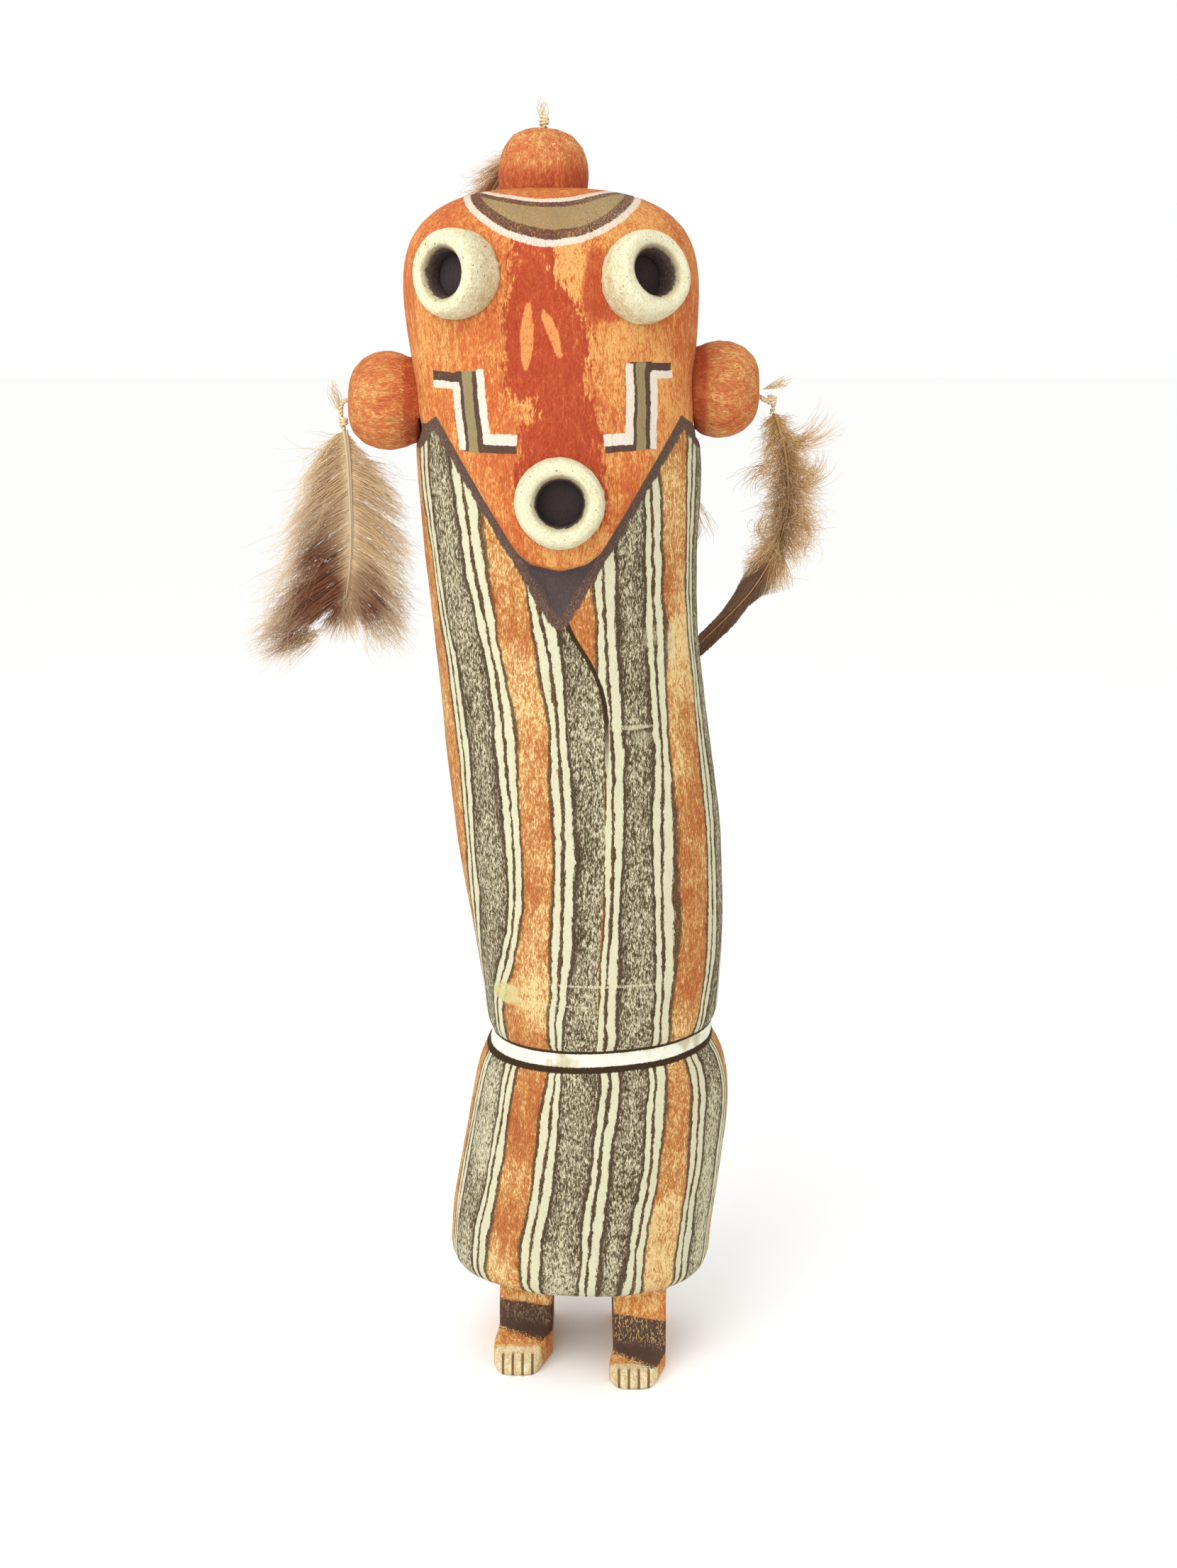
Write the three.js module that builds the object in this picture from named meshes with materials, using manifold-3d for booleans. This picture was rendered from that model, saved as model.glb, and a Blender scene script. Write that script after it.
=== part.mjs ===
// A carved and painted cottonwood-root kachina doll, in millimetres, +Z up, facing -Y.
//
// The root is carved in one piece as head, blanket, belt, skirt, legs and feet. The knob on the
// crown, the two ear knobs, the tubes of the eyes and mouth, the string ties and the feathers are
// pieces of their own. "left" and "right" are as seen by someone who looks the doll in the face.
import * as THREE from 'three';
import { mergeVertices } from 'three/addons/utils/BufferGeometryUtils.js';
import Module from 'manifold-3d';

const wasm = await Module();
wasm.setup();
const { Manifold, Mesh } = wasm;

// ---- driving dimensions -------------------------------------------------------------------

const GAP = 0.3; // air between two pieces that touch
const SIDES = 40; // facets round the carved root
const FULLNESS = 2.2; // power of the rounded sections: 2 is an ellipse, more is squarer
const DEG = Math.PI / 180;

// The root's own crooked centre line: [height, offset to the right].
const SPINE = [
  [20, -2.4], [32, -1.8], [53, 1.2], [64, 2.8], [76, 3.3], [90, 3.3], [107, 2.4], [128, 0.4],
  [148, -1.8], [169, -4.2], [189, -5.9], [217, -6.6], [245, -8.0], [262, -8.4], [280, -8.4],
];

// Sections: [height, half width, depth in front, depth behind].
const SKIRT = [
  [20, 31.7, 25.4, 25], [34, 31.9, 25.8, 25.4], [50, 31.8, 26.2, 25.6], [64, 31.3, 26.6, 25.6],
  [71, 30.6, 26.8, 25.4], [75, 29.8, 27, 25.2], [78.5, 28.5, 27.2, 25], [81, 26.6, 26.4, 24.6],
  [82.2, 26.1, 26, 24.4], [90, 26.1, 26, 24.4],
];
const SKIRT_TOP = 90; // inside the blanket
const SKIRT_STEPS = { step: 6.2, extra: [22.9, 24.2, 26.6, 75, 78.5, 81, 82.2] };
const BLANKET = [
  [84, 27.2, 27.2, 25.2], [92, 28, 28, 25.8], [107, 29.6, 28.4, 26.4], [128, 31.1, 28, 26.8],
  [148, 31.2, 27.6, 26.8], [169, 30.5, 27.4, 26.6], [189, 30.7, 27.8, 26.6],
  [205, 31.7, 28.2, 27], [218, 32.2, 28.4, 27.4], [232, 31.9, 28.4, 27.4],
];
const BLANKET_TOP = 232;
const BLANKET_STEPS = { step: 8.4, extra: [85.7, 86.6, 88] };
const HEAD = [
  [185, 31, 29.6, 24], [197, 31, 31, 25], [205, 31, 32, 26], [213, 31, 32.4, 26.6],
  [224, 31, 31.6, 27], [236, 31.3, 30.2, 27.2], [248, 32.6, 29, 27.6], [256, 33.1, 28.4, 27.6],
  [280, 33.1, 28.4, 27.6],
];

const HEAD_FOOT = 186;
const HEAD_STEP = 8.5;
const DOME_STEPS = [258.5, 262.5, 266, 269, 271.5, 273.6, 275.2, 276.3, 276.9, 277.15];

// Rounded lower edges with a lean, which fades out over "fade" below the height "level".
const HEM = { height: 22.2, round: 4.6, tilt: -0.033, level: 70, fade: 40 }; // right side lower
const WAIST = { height: 85.2, round: 2.4, tilt: 0.05, level: 110, fade: 25 }; // over the belt
const CROWN = { start: 254, height: 277.2, power: 2.85 }; // the domed top of the head
const NECK_INSET = 1.5; // the neck lies this far under the blanket
const NECK_FOOT = 170;

// The blanket's collar is a V; the mask fills it down to a blunt chin. Both are centred on the
// root at the height "centred". The collar rounds over each shoulder, from the V's corner by way
// of [half width, drop] to its side edge.
const CENTRED = 205;
const COLLAR = { apex: 185.6, corner: 229, half: 26.6, side: 223.4, back: 222.6 };
const SHOULDER = { round: [29.4, 2.2], outer: 31.5 };
const COLLAR_BEHIND = -8; // the back edge's level cut starts this far in front of the middle
const MASK = { ledge: 227.4, jaw: 26.2 }; // its lower edge laps a little way over the collar
const CHIN = { height: 196.6, half: 6.2, corner: 10.4, rise: 5.4 };
const OVER = 300; // above everything, for cutters
const REACH = 60; // beyond every side of the root, for cutters

// The left foot, then the right one, which steps forward. ankle is how far back its shin starts,
// crease the height of the instep there, and toe how far its tip swings to the side.
const LEG = { width: 12.8, top: 26, heel: 14 };
const SOLE_ROUND = 0.8;
const SPARE = 1; // how far a foot's cutters run past the wood
const FEET = [
  { across: -15.2, ankle: -8.8, crease: 9, length: 10.8, toe: -1.9 },
  { across: 12.4, ankle: -15.6, crease: 7, length: 10.6, toe: -1.6 },
];
const TOES = { count: 5, groove: 0.8, length: 4.4, narrower: 0.5, slant: 35, setIn: 1.2, up: 3.4 };

// Knobs, whose profiles are [radius, distance out from the head].
const CROWN_KNOB = { across: -9.9, back: 3, height: 277.2 };
const CROWN_KNOB_PROFILE = [
  [0, -4], [9.6, -4], [10.1, 0], [10.3, 2.6], [10.1, 5.4], [8.9, 8.8], [6.6, 11.4], [3.4, 12.7],
  [0, 12.9],
];
const EAR_KNOB_PROFILE = [
  [0, -8], [8.4, -8], [9, 0], [10.6, 3.2], [11.2, 6], [10.9, 9], [9.6, 12], [7.4, 14.2],
  [5, 15.2], [0, 15.2],
];
const EAR_BACK = 0.5;
const EARS = {
  left: { height: 231, out: -38.5, size: 1 },
  right: { height: 233.6, out: 23.1, size: 0.98 },
};
const KNOB_SIDES = 14;

// Tubes: a dished front face round a straight bore. "sunk" is how far each runs on into the mask
// before it is cut to fit, and "waist" is the share of its length over which it flares.
const TUBE = {
  rim: 8.7, base: 9.5, bore: 4.7, mouth: 6.2, dish: 2.1, sides: 24, sunk: 9, waist: 0.5,
};
const TUBES = {
  eye_tube_left: {
    across: -31.2, front: -27.8, height: 258.9, yaw: -41, pitch: 4, long: 7, size: 1,
  },
  eye_tube_right: {
    across: 14.6, front: -28.8, height: 259.4, yaw: 33, pitch: 16, long: 7, size: 1,
  },
  mouth_tube: {
    across: -6, front: -37.6, height: 211.6, yaw: 1, pitch: 5, long: 6, size: 1.03,
  },
};

// Ties and feathers follow a line of [right, back, up] points.
const TIE_RADIUS = 1.1;
const TIE_FACETS = { sides: 8, steps: 6 };
const FEATHER_FACETS = { sides: 10, steps: 10 };
const TIES = {
  ear_tie_left: [[-54.5, 0.4, 231.3], [-55.9, 0.6, 230.4], [-56.1, 1.2, 227.4], [-55.5, 1.8, 224]],
  ear_tie_right: [[38.8, 0.6, 232.8], [40.2, 1, 232.3], [41.3, 2, 230.6], [41.6, 3, 228.4]],
  top_tie: [
    [-9.9, 2.6, 295.8], [-9.9, 3, 293], [-10, 4.8, 291.7], [-10.2, 8, 291], [-10.5, 11.4, 289],
  ],
};
const FEATHERS = {
  ear_feather_left: {
    line: [[-55.4, 2, 222.8], [-54.6, 2.6, 208], [-56, 3.4, 193], [-59, 4, 179], [-64, 4.4, 167]],
    half: [1.2, 12, 17.8, 18.8, 11], thick: [1, 2.6, 3, 2.6, 1.2],
  },
  ear_feather_right: {
    line: [[41.7, 3.4, 227.2], [45, 6, 213], [44.2, 8.4, 200], [37.6, 11, 187], [26, 12.8, 175]],
    half: [1.2, 7, 7, 5.4, 3], thick: [1, 3, 3, 2.2, 1],
  },
  top_feather: {
    line: [
      [-10.9, 12.8, 287.4], [-18, 19, 280.6], [-25, 28, 268], [-27, 33.4, 252], [-23, 34, 234],
    ],
    half: [1.2, 6, 7.6, 7.6, 3], thick: [1, 1.8, 2, 2, 1],
  },
};

// Paints, as [colour, roughness].
const PAINTS = {
  root: [0xc9642c, 0.72], crown: [0xcf5f2e, 0.7], ear: [0xcc6a35, 0.7], tube: [0xe3dfc6, 0.75],
  string: [0xd9c3a0, 0.9], feather: [0xbf9a6d, 0.85],
};

// ---- solids -------------------------------------------------------------------------------

const WELD = 1e-4;

function toSolid(geometry) {
  const bare = geometry.clone();
  bare.deleteAttribute('normal');
  bare.deleteAttribute('uv');
  const welded = mergeVertices(bare, WELD);
  return new Manifold(new Mesh({
    numProp: 3,
    vertProperties: welded.attributes.position.array,
    triVerts: new Uint32Array(welded.index.array),
  }));
}

function toGeometry(solid) {
  const { vertProperties, triVerts } = solid.getMesh();
  const geometry = new THREE.BufferGeometry();
  geometry.setAttribute('position', new THREE.BufferAttribute(vertProperties, 3));
  geometry.setIndex(new THREE.BufferAttribute(triVerts, 1));
  return geometry;
}

/** Smooth values along a height or a length, from rows of [place, value, value, ...]. */
function smooth(rows) {
  const width = rows[0].length - 1;
  const places = rows.map((row) => row[0]);
  const curve = new THREE.CubicInterpolant(places, rows.flatMap((row) => row.slice(1)), width);
  return (place) => Array.from(curve.evaluate(place));
}

const spine = smooth(SPINE);

/** How far a leaning edge still leans at a height. */
function lean({ tilt, level, fade }, height) {
  return tilt * THREE.MathUtils.clamp((level - height) / fade, 0, 1);
}

/** How far a rounded edge draws in, at a distance from its end. */
function roundOff(distance, radius) {
  const short = Math.max(radius - distance, 0);
  return radius - Math.sqrt(Math.max(radius ** 2 - short ** 2, 0));
}

/** Evenly spaced heights, with extra ones listed by hand where the form turns quickly. */
function levels(from, to, { step, extra = [] }) {
  const count = Math.round((to - from) / step);
  const even = Array.from({ length: count + 1 }, (_, i) => from + ((to - from) * i) / count);
  const clear = even.filter((z, i) => i === 0 || extra.every((e) => Math.abs(e - z) > step / 3));
  return [...new Set([...clear, ...extra])].sort((a, b) => a - b);
}

/** A closed skin over rounded sections: a unit cylinder is drawn out to follow them. */
function loft(heights, section, sides = SIDES) {
  const skin = new THREE.CylinderGeometry(1, 1, 1, sides, heights.length - 1);
  const place = skin.attributes.position;
  for (let i = 0; i < place.count; i += 1) {
    const height = heights[Math.round((place.getY(i) + 0.5) * (heights.length - 1))];
    const { across, half, front, back, tilt = 0 } = section(height);
    const right = place.getX(i);
    const rear = -place.getZ(i);
    const x = Math.sign(right) * Math.abs(right) ** (2 / FULLNESS) * half;
    const y = Math.sign(rear) * Math.abs(rear) ** (2 / FULLNESS) * (rear < 0 ? front : back);
    place.setXYZ(i, across + x, y, height + tilt * x);
  }
  return toSolid(skin);
}

/** Cuts or keeps a region drawn on the front view, between two depths. */
function frontPrism(shape, near, far) {
  const prism = new THREE.ExtrudeGeometry(shape, { depth: far - near, bevelEnabled: false });
  return toSolid(prism.rotateX(Math.PI / 2).translate(0, far, 0));
}

function polygon(points) {
  return new THREE.Shape(points.map(([x, y]) => new THREE.Vector2(x, y)));
}

function lathe(profile, sides) {
  return new THREE.LatheGeometry(profile.map(([r, h]) => new THREE.Vector2(r, h)), sides);
}

// ---- the carved root ----------------------------------------------------------------------

function skirt() {
  const sections = smooth(SKIRT);
  return loft(levels(HEM.height, SKIRT_TOP, SKIRT_STEPS), (height) => {
    const [half, front, back] = sections(height);
    const inward = roundOff(height - HEM.height, HEM.round);
    return {
      across: spine(height)[0],
      half: half - inward, front: front - inward, back: back - inward, tilt: lean(HEM, height),
    };
  });
}

function blanketForm(inset = 0, bottom = WAIST.height) {
  const sections = smooth(BLANKET);
  const { step, extra } = BLANKET_STEPS;
  const steps = { step, extra: extra.filter((height) => height > bottom) };
  return loft(levels(bottom, BLANKET_TOP, steps), (height) => {
    const [half, front, back] = sections(height);
    const inward = inset + roundOff(height - WAIST.height, WAIST.round);
    return {
      across: spine(height)[0],
      half: half - inward, front: front - inward, back: back - inward, tilt: lean(WAIST, height),
    };
  });
}

/** The collar: a deep V in front, a rounded shoulder at each side and a level edge behind. */
function blanket(grow = 0) {
  const [middle] = spine(CENTRED);
  const { apex, corner, half, side, back } = COLLAR;
  const { round: [wide, drop], outer } = SHOULDER;
  const vee = polygon([
    [middle, apex], [middle + half, corner], [middle + half, OVER],
    [middle - half, OVER], [middle - half, corner],
  ]);
  const shoulders = polygon([
    [middle - REACH, side], [middle - outer, side], [middle - wide, corner - drop],
    [middle - half, corner], [middle + half, corner], [middle + wide, corner - drop],
    [middle + outer, side], [middle + REACH, side],
    [middle + REACH, OVER], [middle - REACH, OVER],
  ]);
  const behind = polygon([
    [middle - REACH, back], [middle + REACH, back],
    [middle + REACH, OVER], [middle - REACH, OVER],
  ]);
  const raised = [0, 0, grow];
  return blanketForm(-grow)
    .subtract(frontPrism(vee, -REACH, 0))
    .subtract(frontPrism(shoulders, -REACH, REACH).translate(raised))
    .subtract(frontPrism(behind, COLLAR_BEHIND, REACH).translate(raised));
}

function headForm(grow = 0) {
  const sections = smooth(HEAD);
  const heights = levels(HEAD_FOOT, CROWN.start, { step: HEAD_STEP }).concat(DOME_STEPS);
  return loft(heights, (height) => {
    const [half, front, back] = sections(height);
    const rise = THREE.MathUtils.clamp(
      (height - CROWN.start) / (CROWN.height - CROWN.start), 0, 1);
    const dome = (1 - rise ** CROWN.power) ** (1 / CROWN.power);
    return {
      across: spine(height)[0],
      half: half * dome + grow, front: front * dome + grow, back: back * dome + grow,
    };
  });
}

/** The mask fills the collar's V: full width above it, a blunt chin below. */
function head() {
  const [middle] = spine(CENTRED);
  const { ledge, jaw } = MASK;
  const outline = new THREE.Shape();
  outline.moveTo(middle - REACH, OVER);
  outline.lineTo(middle - REACH, ledge);
  outline.lineTo(middle - jaw, ledge);
  outline.lineTo(middle - CHIN.corner, CHIN.height + CHIN.rise);
  outline.quadraticCurveTo(middle - CHIN.half, CHIN.height, middle, CHIN.height);
  outline.quadraticCurveTo(
    middle + CHIN.half, CHIN.height, middle + CHIN.corner, CHIN.height + CHIN.rise);
  outline.lineTo(middle + jaw, ledge);
  outline.lineTo(middle + REACH, ledge);
  outline.lineTo(middle + REACH, OVER);
  return headForm().intersect(frontPrism(outline, -REACH, REACH));
}

/** A block foot: its side outline and its plan are each cut right through, as a carver would. */
function foot({ across, ankle, crease, length, toe }) {
  const wide = LEG.width / 2;
  const heel = ankle - LEG.heel;
  const side = polygon([
    [heel, SOLE_ROUND], [heel + 1, 0], [length - SOLE_ROUND, 0], [length, 1],
    [length - 0.3, 2.4], [length - 2.4, 4.2], [length * 0.45, crease - 2],
    [0.5, crease - 0.4], [0, LEG.top], [heel, LEG.top],
  ]);
  const plan = new THREE.Shape();
  plan.moveTo(-wide, heel - SPARE);
  plan.lineTo(wide, heel - SPARE);
  plan.lineTo(wide, -1);
  plan.lineTo(toe + toeHalf(), length - 5);
  plan.quadraticCurveTo(toe + toeHalf() - 0.8, length, toe, length + 0.2);
  plan.quadraticCurveTo(toe - toeHalf() + 0.5, length, toe - toeHalf(), length - 5.6);
  plan.lineTo(-wide, -1);
  const sideways = { depth: LEG.width + 6 * SPARE, bevelEnabled: false };
  const upright = { depth: LEG.top + 2 * SPARE, bevelEnabled: false, curveSegments: 5 };
  const cutSide = new THREE.ExtrudeGeometry(side, sideways)
    .rotateX(Math.PI / 2).rotateZ(-Math.PI / 2).translate(wide + 3 * SPARE, 0, 0);
  const cutPlan = new THREE.ExtrudeGeometry(plan, upright)
    .rotateX(Math.PI).translate(0, 0, LEG.top + SPARE);
  let block = toSolid(cutSide).intersect(toSolid(cutPlan));
  for (let gap = 1; gap < TOES.count; gap += 1) {
    const x = toe + toeHalf() * ((2 * gap) / TOES.count - 1);
    block = block.subtract(toSolid(toeGroove(x, length)));
  }
  return block.translate([across, ankle, 0]);
}

function toeHalf() {
  return LEG.width / 2 - TOES.narrower;
}

/** A notch between two toes, open to the front and the top. */
function toeGroove(x, length) {
  const wedge = new THREE.CylinderGeometry(TOES.groove, TOES.groove, TOES.length, 3);
  return wedge.rotateX(-TOES.slant * DEG).translate(x, -length + TOES.setIn, TOES.up);
}

function figure() {
  const neck = blanketForm(NECK_INSET, NECK_FOOT);
  return FEET.reduce(
    (root, side) => root.add(foot(side)),
    skirt().add(neck).add(blanket()).add(head()),
  );
}

// ---- pieces set on the root ---------------------------------------------------------------

const cutter = headForm(GAP).add(blanket(GAP));

function crownKnob() {
  const knob = lathe(CROWN_KNOB_PROFILE, KNOB_SIDES)
    .rotateX(Math.PI / 2)
    .translate(CROWN_KNOB.across, CROWN_KNOB.back, CROWN_KNOB.height);
  return toSolid(knob).subtract(cutter);
}

function earKnob({ height, out, size }) {
  const outward = Math.sign(out - spine(height)[0]);
  const profile = EAR_KNOB_PROFILE.map(([r, h]) => [r * size, h * size]);
  const knob = lathe(profile, KNOB_SIDES)
    .rotateZ(-outward * Math.PI / 2)
    .translate(out, EAR_BACK, height);
  return toSolid(knob).subtract(cutter);
}

/** A tube carved with a dished face, standing off the mask along its own line of sight. */
function faceTube({ across, front, height, yaw, pitch, long, size }) {
  const { rim, base, bore, mouth, dish, sides, sunk, waist } = TUBE;
  const depth = long + sunk;
  const profile = [
    [bore, -depth], [base, -depth], [base, -long * waist], [rim + 0.3, -1], [rim - 0.5, 0],
    [mouth + 0.5, 0], [mouth - 0.2, -0.4], [bore, -dish], [bore, -depth],
  ].map(([r, h]) => [r * size, h]);
  const tube = lathe(profile, sides)
    .rotateX(Math.PI - pitch * DEG)
    .rotateZ(yaw * DEG)
    .translate(across, front, height);
  return toSolid(tube).subtract(cutter);
}

/** Sections swept along a bent line, flat across the view or round. */
function sweep(line, half, thick, { sides, steps }) {
  const path = new THREE.CatmullRomCurve3(line.map(([x, y, z]) => new THREE.Vector3(x, y, z)));
  const widths = smooth(half.map((value, i) => [i / (half.length - 1), value, thick[i]]));
  const body = new THREE.CylinderGeometry(1, 1, 1, sides, steps);
  const place = body.attributes.position;
  const back = new THREE.Vector3(0, 1, 0);
  for (let i = 0; i < place.count; i += 1) {
    const along = THREE.MathUtils.clamp(0.5 - place.getY(i), 0, 1);
    const [width, depth] = widths(along);
    const centre = path.getPoint(along);
    const run = path.getTangent(along);
    const side = new THREE.Vector3().crossVectors(back, run).normalize();
    const face = new THREE.Vector3().crossVectors(run, side).normalize();
    centre.addScaledVector(side, place.getX(i) * width);
    centre.addScaledVector(face, place.getZ(i) * depth);
    place.setXYZ(i, centre.x, centre.y, centre.z);
  }
  return body;
}

// ---- the assembled doll -------------------------------------------------------------------

function paint(name) {
  const [color, roughness] = PAINTS[name];
  return new THREE.MeshStandardMaterial({ color, roughness, metalness: 0 });
}

const doll = new THREE.Group();

function addPiece(name, geometry, material) {
  const piece = new THREE.Mesh(geometry, material);
  piece.name = name;
  doll.add(piece);
}

addPiece('figure', toGeometry(figure()), paint('root'));
addPiece('top_knob', toGeometry(crownKnob()), paint('crown'));
Object.entries(EARS).forEach(([side, ear]) => {
  addPiece(`ear_knob_${side}`, toGeometry(earKnob(ear)), paint('ear'));
});
Object.entries(TUBES).forEach(([name, tube]) => {
  addPiece(name, toGeometry(faceTube(tube)), paint('tube'));
});
Object.entries(TIES).forEach(([name, line]) => {
  const radii = line.map(() => TIE_RADIUS);
  addPiece(name, sweep(line, radii, radii, TIE_FACETS), paint('string'));
});
Object.entries(FEATHERS).forEach(([name, { line, half, thick }]) => {
  addPiece(name, sweep(line, half, thick, FEATHER_FACETS), paint('feather'));
});

// The doll stands on its soles, with the middle of its box over the origin.
const box = new THREE.Box3().setFromObject(doll);
doll.position.set(-(box.min.x + box.max.x) / 2, -(box.min.y + box.max.y) / 2, -box.min.z);

export default doll;
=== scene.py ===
"""A carved and painted kachina doll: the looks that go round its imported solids.

Sizes are given in millimetres from the doll's own datum: right, back and up from the point between
its heels, so that the crown knob stands at KNOB_CENTRE.
"""
import math
import random
from functools import reduce
from types import SimpleNamespace

import bmesh
import bpy
import numpy as np
from bpy.props import FloatProperty, FloatVectorProperty, IntProperty, PointerProperty
from mathutils import Matrix, Vector, noise
from mathutils.bvhtree import BVHTree


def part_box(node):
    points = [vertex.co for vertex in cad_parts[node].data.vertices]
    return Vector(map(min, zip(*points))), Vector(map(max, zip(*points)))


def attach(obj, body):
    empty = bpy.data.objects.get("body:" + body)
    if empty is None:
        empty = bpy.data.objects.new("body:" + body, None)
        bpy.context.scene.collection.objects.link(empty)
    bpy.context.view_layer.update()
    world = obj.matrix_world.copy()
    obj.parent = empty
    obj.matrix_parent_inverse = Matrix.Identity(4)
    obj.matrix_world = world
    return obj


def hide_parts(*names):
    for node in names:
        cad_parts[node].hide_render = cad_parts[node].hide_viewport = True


bl_info = {
    "name": "Carved kachina doll",
    "version": (1, 0, 0),
    "blender": (4, 5, 0),
    "location": "3D View > Sidebar > Kachina doll",
    "description": "Carves, paints and dresses a kachina doll round its packed solids",
    "category": "Object",
}

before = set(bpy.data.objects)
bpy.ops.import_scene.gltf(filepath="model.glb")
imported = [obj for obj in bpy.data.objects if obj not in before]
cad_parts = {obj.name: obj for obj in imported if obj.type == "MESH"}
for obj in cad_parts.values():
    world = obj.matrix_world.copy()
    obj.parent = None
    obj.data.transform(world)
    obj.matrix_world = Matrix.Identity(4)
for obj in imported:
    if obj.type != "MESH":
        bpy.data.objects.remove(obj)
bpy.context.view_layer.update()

# ---- measures -----------------------------------------------------------------------------

MM = 0.001
BODY = "root"
KNOB_CENTRE = Vector((-9.9, 3.0))


def find_datum():
    """The doll's own datum in the shared frame, found from the crown knob."""
    low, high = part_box("top_knob")
    return Vector(((low.x + high.x) / 2 - KNOB_CENTRE.x * MM,
                   (low.y + high.y) / 2 - KNOB_CENTRE.y * MM, 0.0))


DATUM = find_datum()


def at(right, back, up):
    """A point of the doll in the shared frame, in metres."""
    return DATUM + Vector((right, back, up)) * MM


# The blanket's stripes come in white pairs, numbered from the front. Each row gives a height and
# the angles round the body, in degrees, at which those pairs pass it.
LEFT_FLAP = [
    (228, -64, -40, -18), (210, -63, -37.5, -13.5), (195, -61, -35, -10.5), (172, -55, -30.4, -6.2),
    (148, -54, -29.6, -7.4), (124, -60, -32.5, -12), (107, -70, -42, -16.8), (92, -82, -60, -22.5),
]
RIGHT_FLAP = [
    (228, 16, 33, 66), (210, 16.5, 37.6, 62), (195, 17.7, 39.2, 64.4), (172, 17.0, 39.7, 67.6),
    (148, 13.8, 35.3, 64), (124, 8.9, 30.1, 62), (107, 4.2, 29.2, 60.5), (88, 1.2, 28, 54),
]
SKIRT = [
    (82, -70, -48.6, -22.6, 3.6, 26, 49.2), (72, -71, -47.2, -22.2, 2.6, 23, 47),
    (62, -72, -46.8, -22.3, 0.7, 22.8, 45.6), (50, -71.5, -46.8, -21.8, 2.1, 23.4, 46.8),
    (30, -71, -48.4, -22, 2.6, 22.7, 47.2),
]
BACK_PAIR = 168  # the last pair on each side stands this far round
LAST_PAIR = 7
LAP = [
    (88, -3.0), (107, 0.0), (124, 4.7), (148, 9.8), (160, 12.9), (169, 13.9), (174, 11.2),
    (180, 5.0), (186, -1.5), (230, -1.5),
]
PAIR_REACH = 5.9  # degrees each side of a pair over which the stripes keep their true width
MM_PER_DEGREE = 0.51
PAIR_SHARE = 0.3  # that reach, as a share of one step in the stripes' numbering
LINE_OFF, OUTLINE_OFF = 1.12, 1.95  # from a pair's middle to a line's, and to its outline's rim
BELT_LOW = -3.3  # the belt's lower edge, from the blanket's
TOE_PITCH = 2.36

# Lines on the front view that bound the collar and the mask, from the middle of the chest.
COLLAR_LINE = [(-70, 223.4), (-31.5, 223.4), (-29.4, 226.8), (-26.6, 229), (0, 185.6),
               (26.6, 229), (29.4, 226.8), (31.5, 223.4), (70, 223.4)]
MASK_LINE = [(-70, 227.4), (-26.2, 227.4), (-10.4, 202), (-5.7, 198), (0, 196.6), (5.7, 198),
             (10.4, 202), (26.2, 227.4), (70, 227.4)]
COLLAR_BACK = 222.6
CHIN_FOOT = 186.0  # above this height the mask stands in front of the blanket
# The second coat of red down the middle of the mask, and the marks worn through it.
RED_COAT = [(-15.0, 267), (-16, 260.5), (-16.8, 256.4), (-18.6, 251), (-17.6, 246.9),
            (-17.9, 241.9), (-17.5, 237.7), (-16.9, 234.8), (-15.2, 232.1), (-11.7, 232.5),
            (-11.2, 230.5), (-12.5, 228.2), (-15.0, 226.8), (-15.4, 221), (-15.2, 214),
            (-10, 206), (2.5, 206), (4.0, 214), (3.2, 220.9), (3.0, 225.1), (1.3, 229.3),
            (0.2, 234.4), (-1.0, 237.7), (-0.1, 241.9), (-0.1, 248.1), (-1.1, 251.5),
            (-3.2, 253.1), (-4.7, 255.6), (-7.2, 258.5), (-7.8, 267)]
WORN_MARKS = [
    [(-12.7, 254.4), (-14.0, 249.0), (-14.5, 246.1), (-14.3, 241.9), (-13.5, 238.2),
     (-12.4, 240.2), (-11.6, 243.6), (-11.5, 248.1), (-12.0, 251.9)],
    [(-10.0, 252.1), (-9.8, 249.0), (-8.7, 246.5), (-7.4, 243.4), (-6.0, 240.2), (-5.4, 241.9),
     (-6.2, 246.1), (-7.2, 248.6), (-8.6, 250.6)],
]
BLANKET_EDGE = (85.2, 0.05)  # height of its lower edge in the middle, and its rise to the right

# The tubes of the eyes and mouth: middle of the dished face, and the way it looks.
TUBES = {
    "eye_tube_left": {"face": (-31.2, -27.8, 258.9), "yaw": -41, "pitch": 4},
    "eye_tube_right": {"face": (14.6, -28.8, 259.4), "yaw": 33, "pitch": 16},
    "mouth_tube": {"face": (-6, -37.6, 211.6), "yaw": 1, "pitch": 5},
}
BEHIND_FACE = 8.0  # from a tube's face back to the mask, down its bore

# Paint tones in plain white light. A worn paint has five: bare, stained, painted, full and crack.
MASK_TONES = ((0.74, 0.38, 0.125), (0.63, 0.225, 0.062), (0.52, 0.125, 0.04), (0.43, 0.075, 0.03),
              (0.24, 0.042, 0.018))
COAT_TONES = ((0.70, 0.28, 0.09), (0.54, 0.13, 0.043), (0.43, 0.07, 0.028), (0.36, 0.05, 0.022),
              (0.21, 0.028, 0.013))
GREY_TONES = ((0.62, 0.58, 0.40), (0.37, 0.315, 0.19), (0.18, 0.14, 0.083), (0.055, 0.036, 0.02),
              (0.03, 0.018, 0.01))
WARM_TONES = ((0.78, 0.58, 0.27), (0.60, 0.33, 0.11), (0.47, 0.175, 0.05), (0.38, 0.095, 0.03),
              (0.15, 0.055, 0.025))
LEG_TONES = ((0.84, 0.62, 0.28), (0.70, 0.38, 0.12), (0.54, 0.16, 0.045), (0.44, 0.08, 0.03),
             (0.20, 0.08, 0.03))
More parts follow.
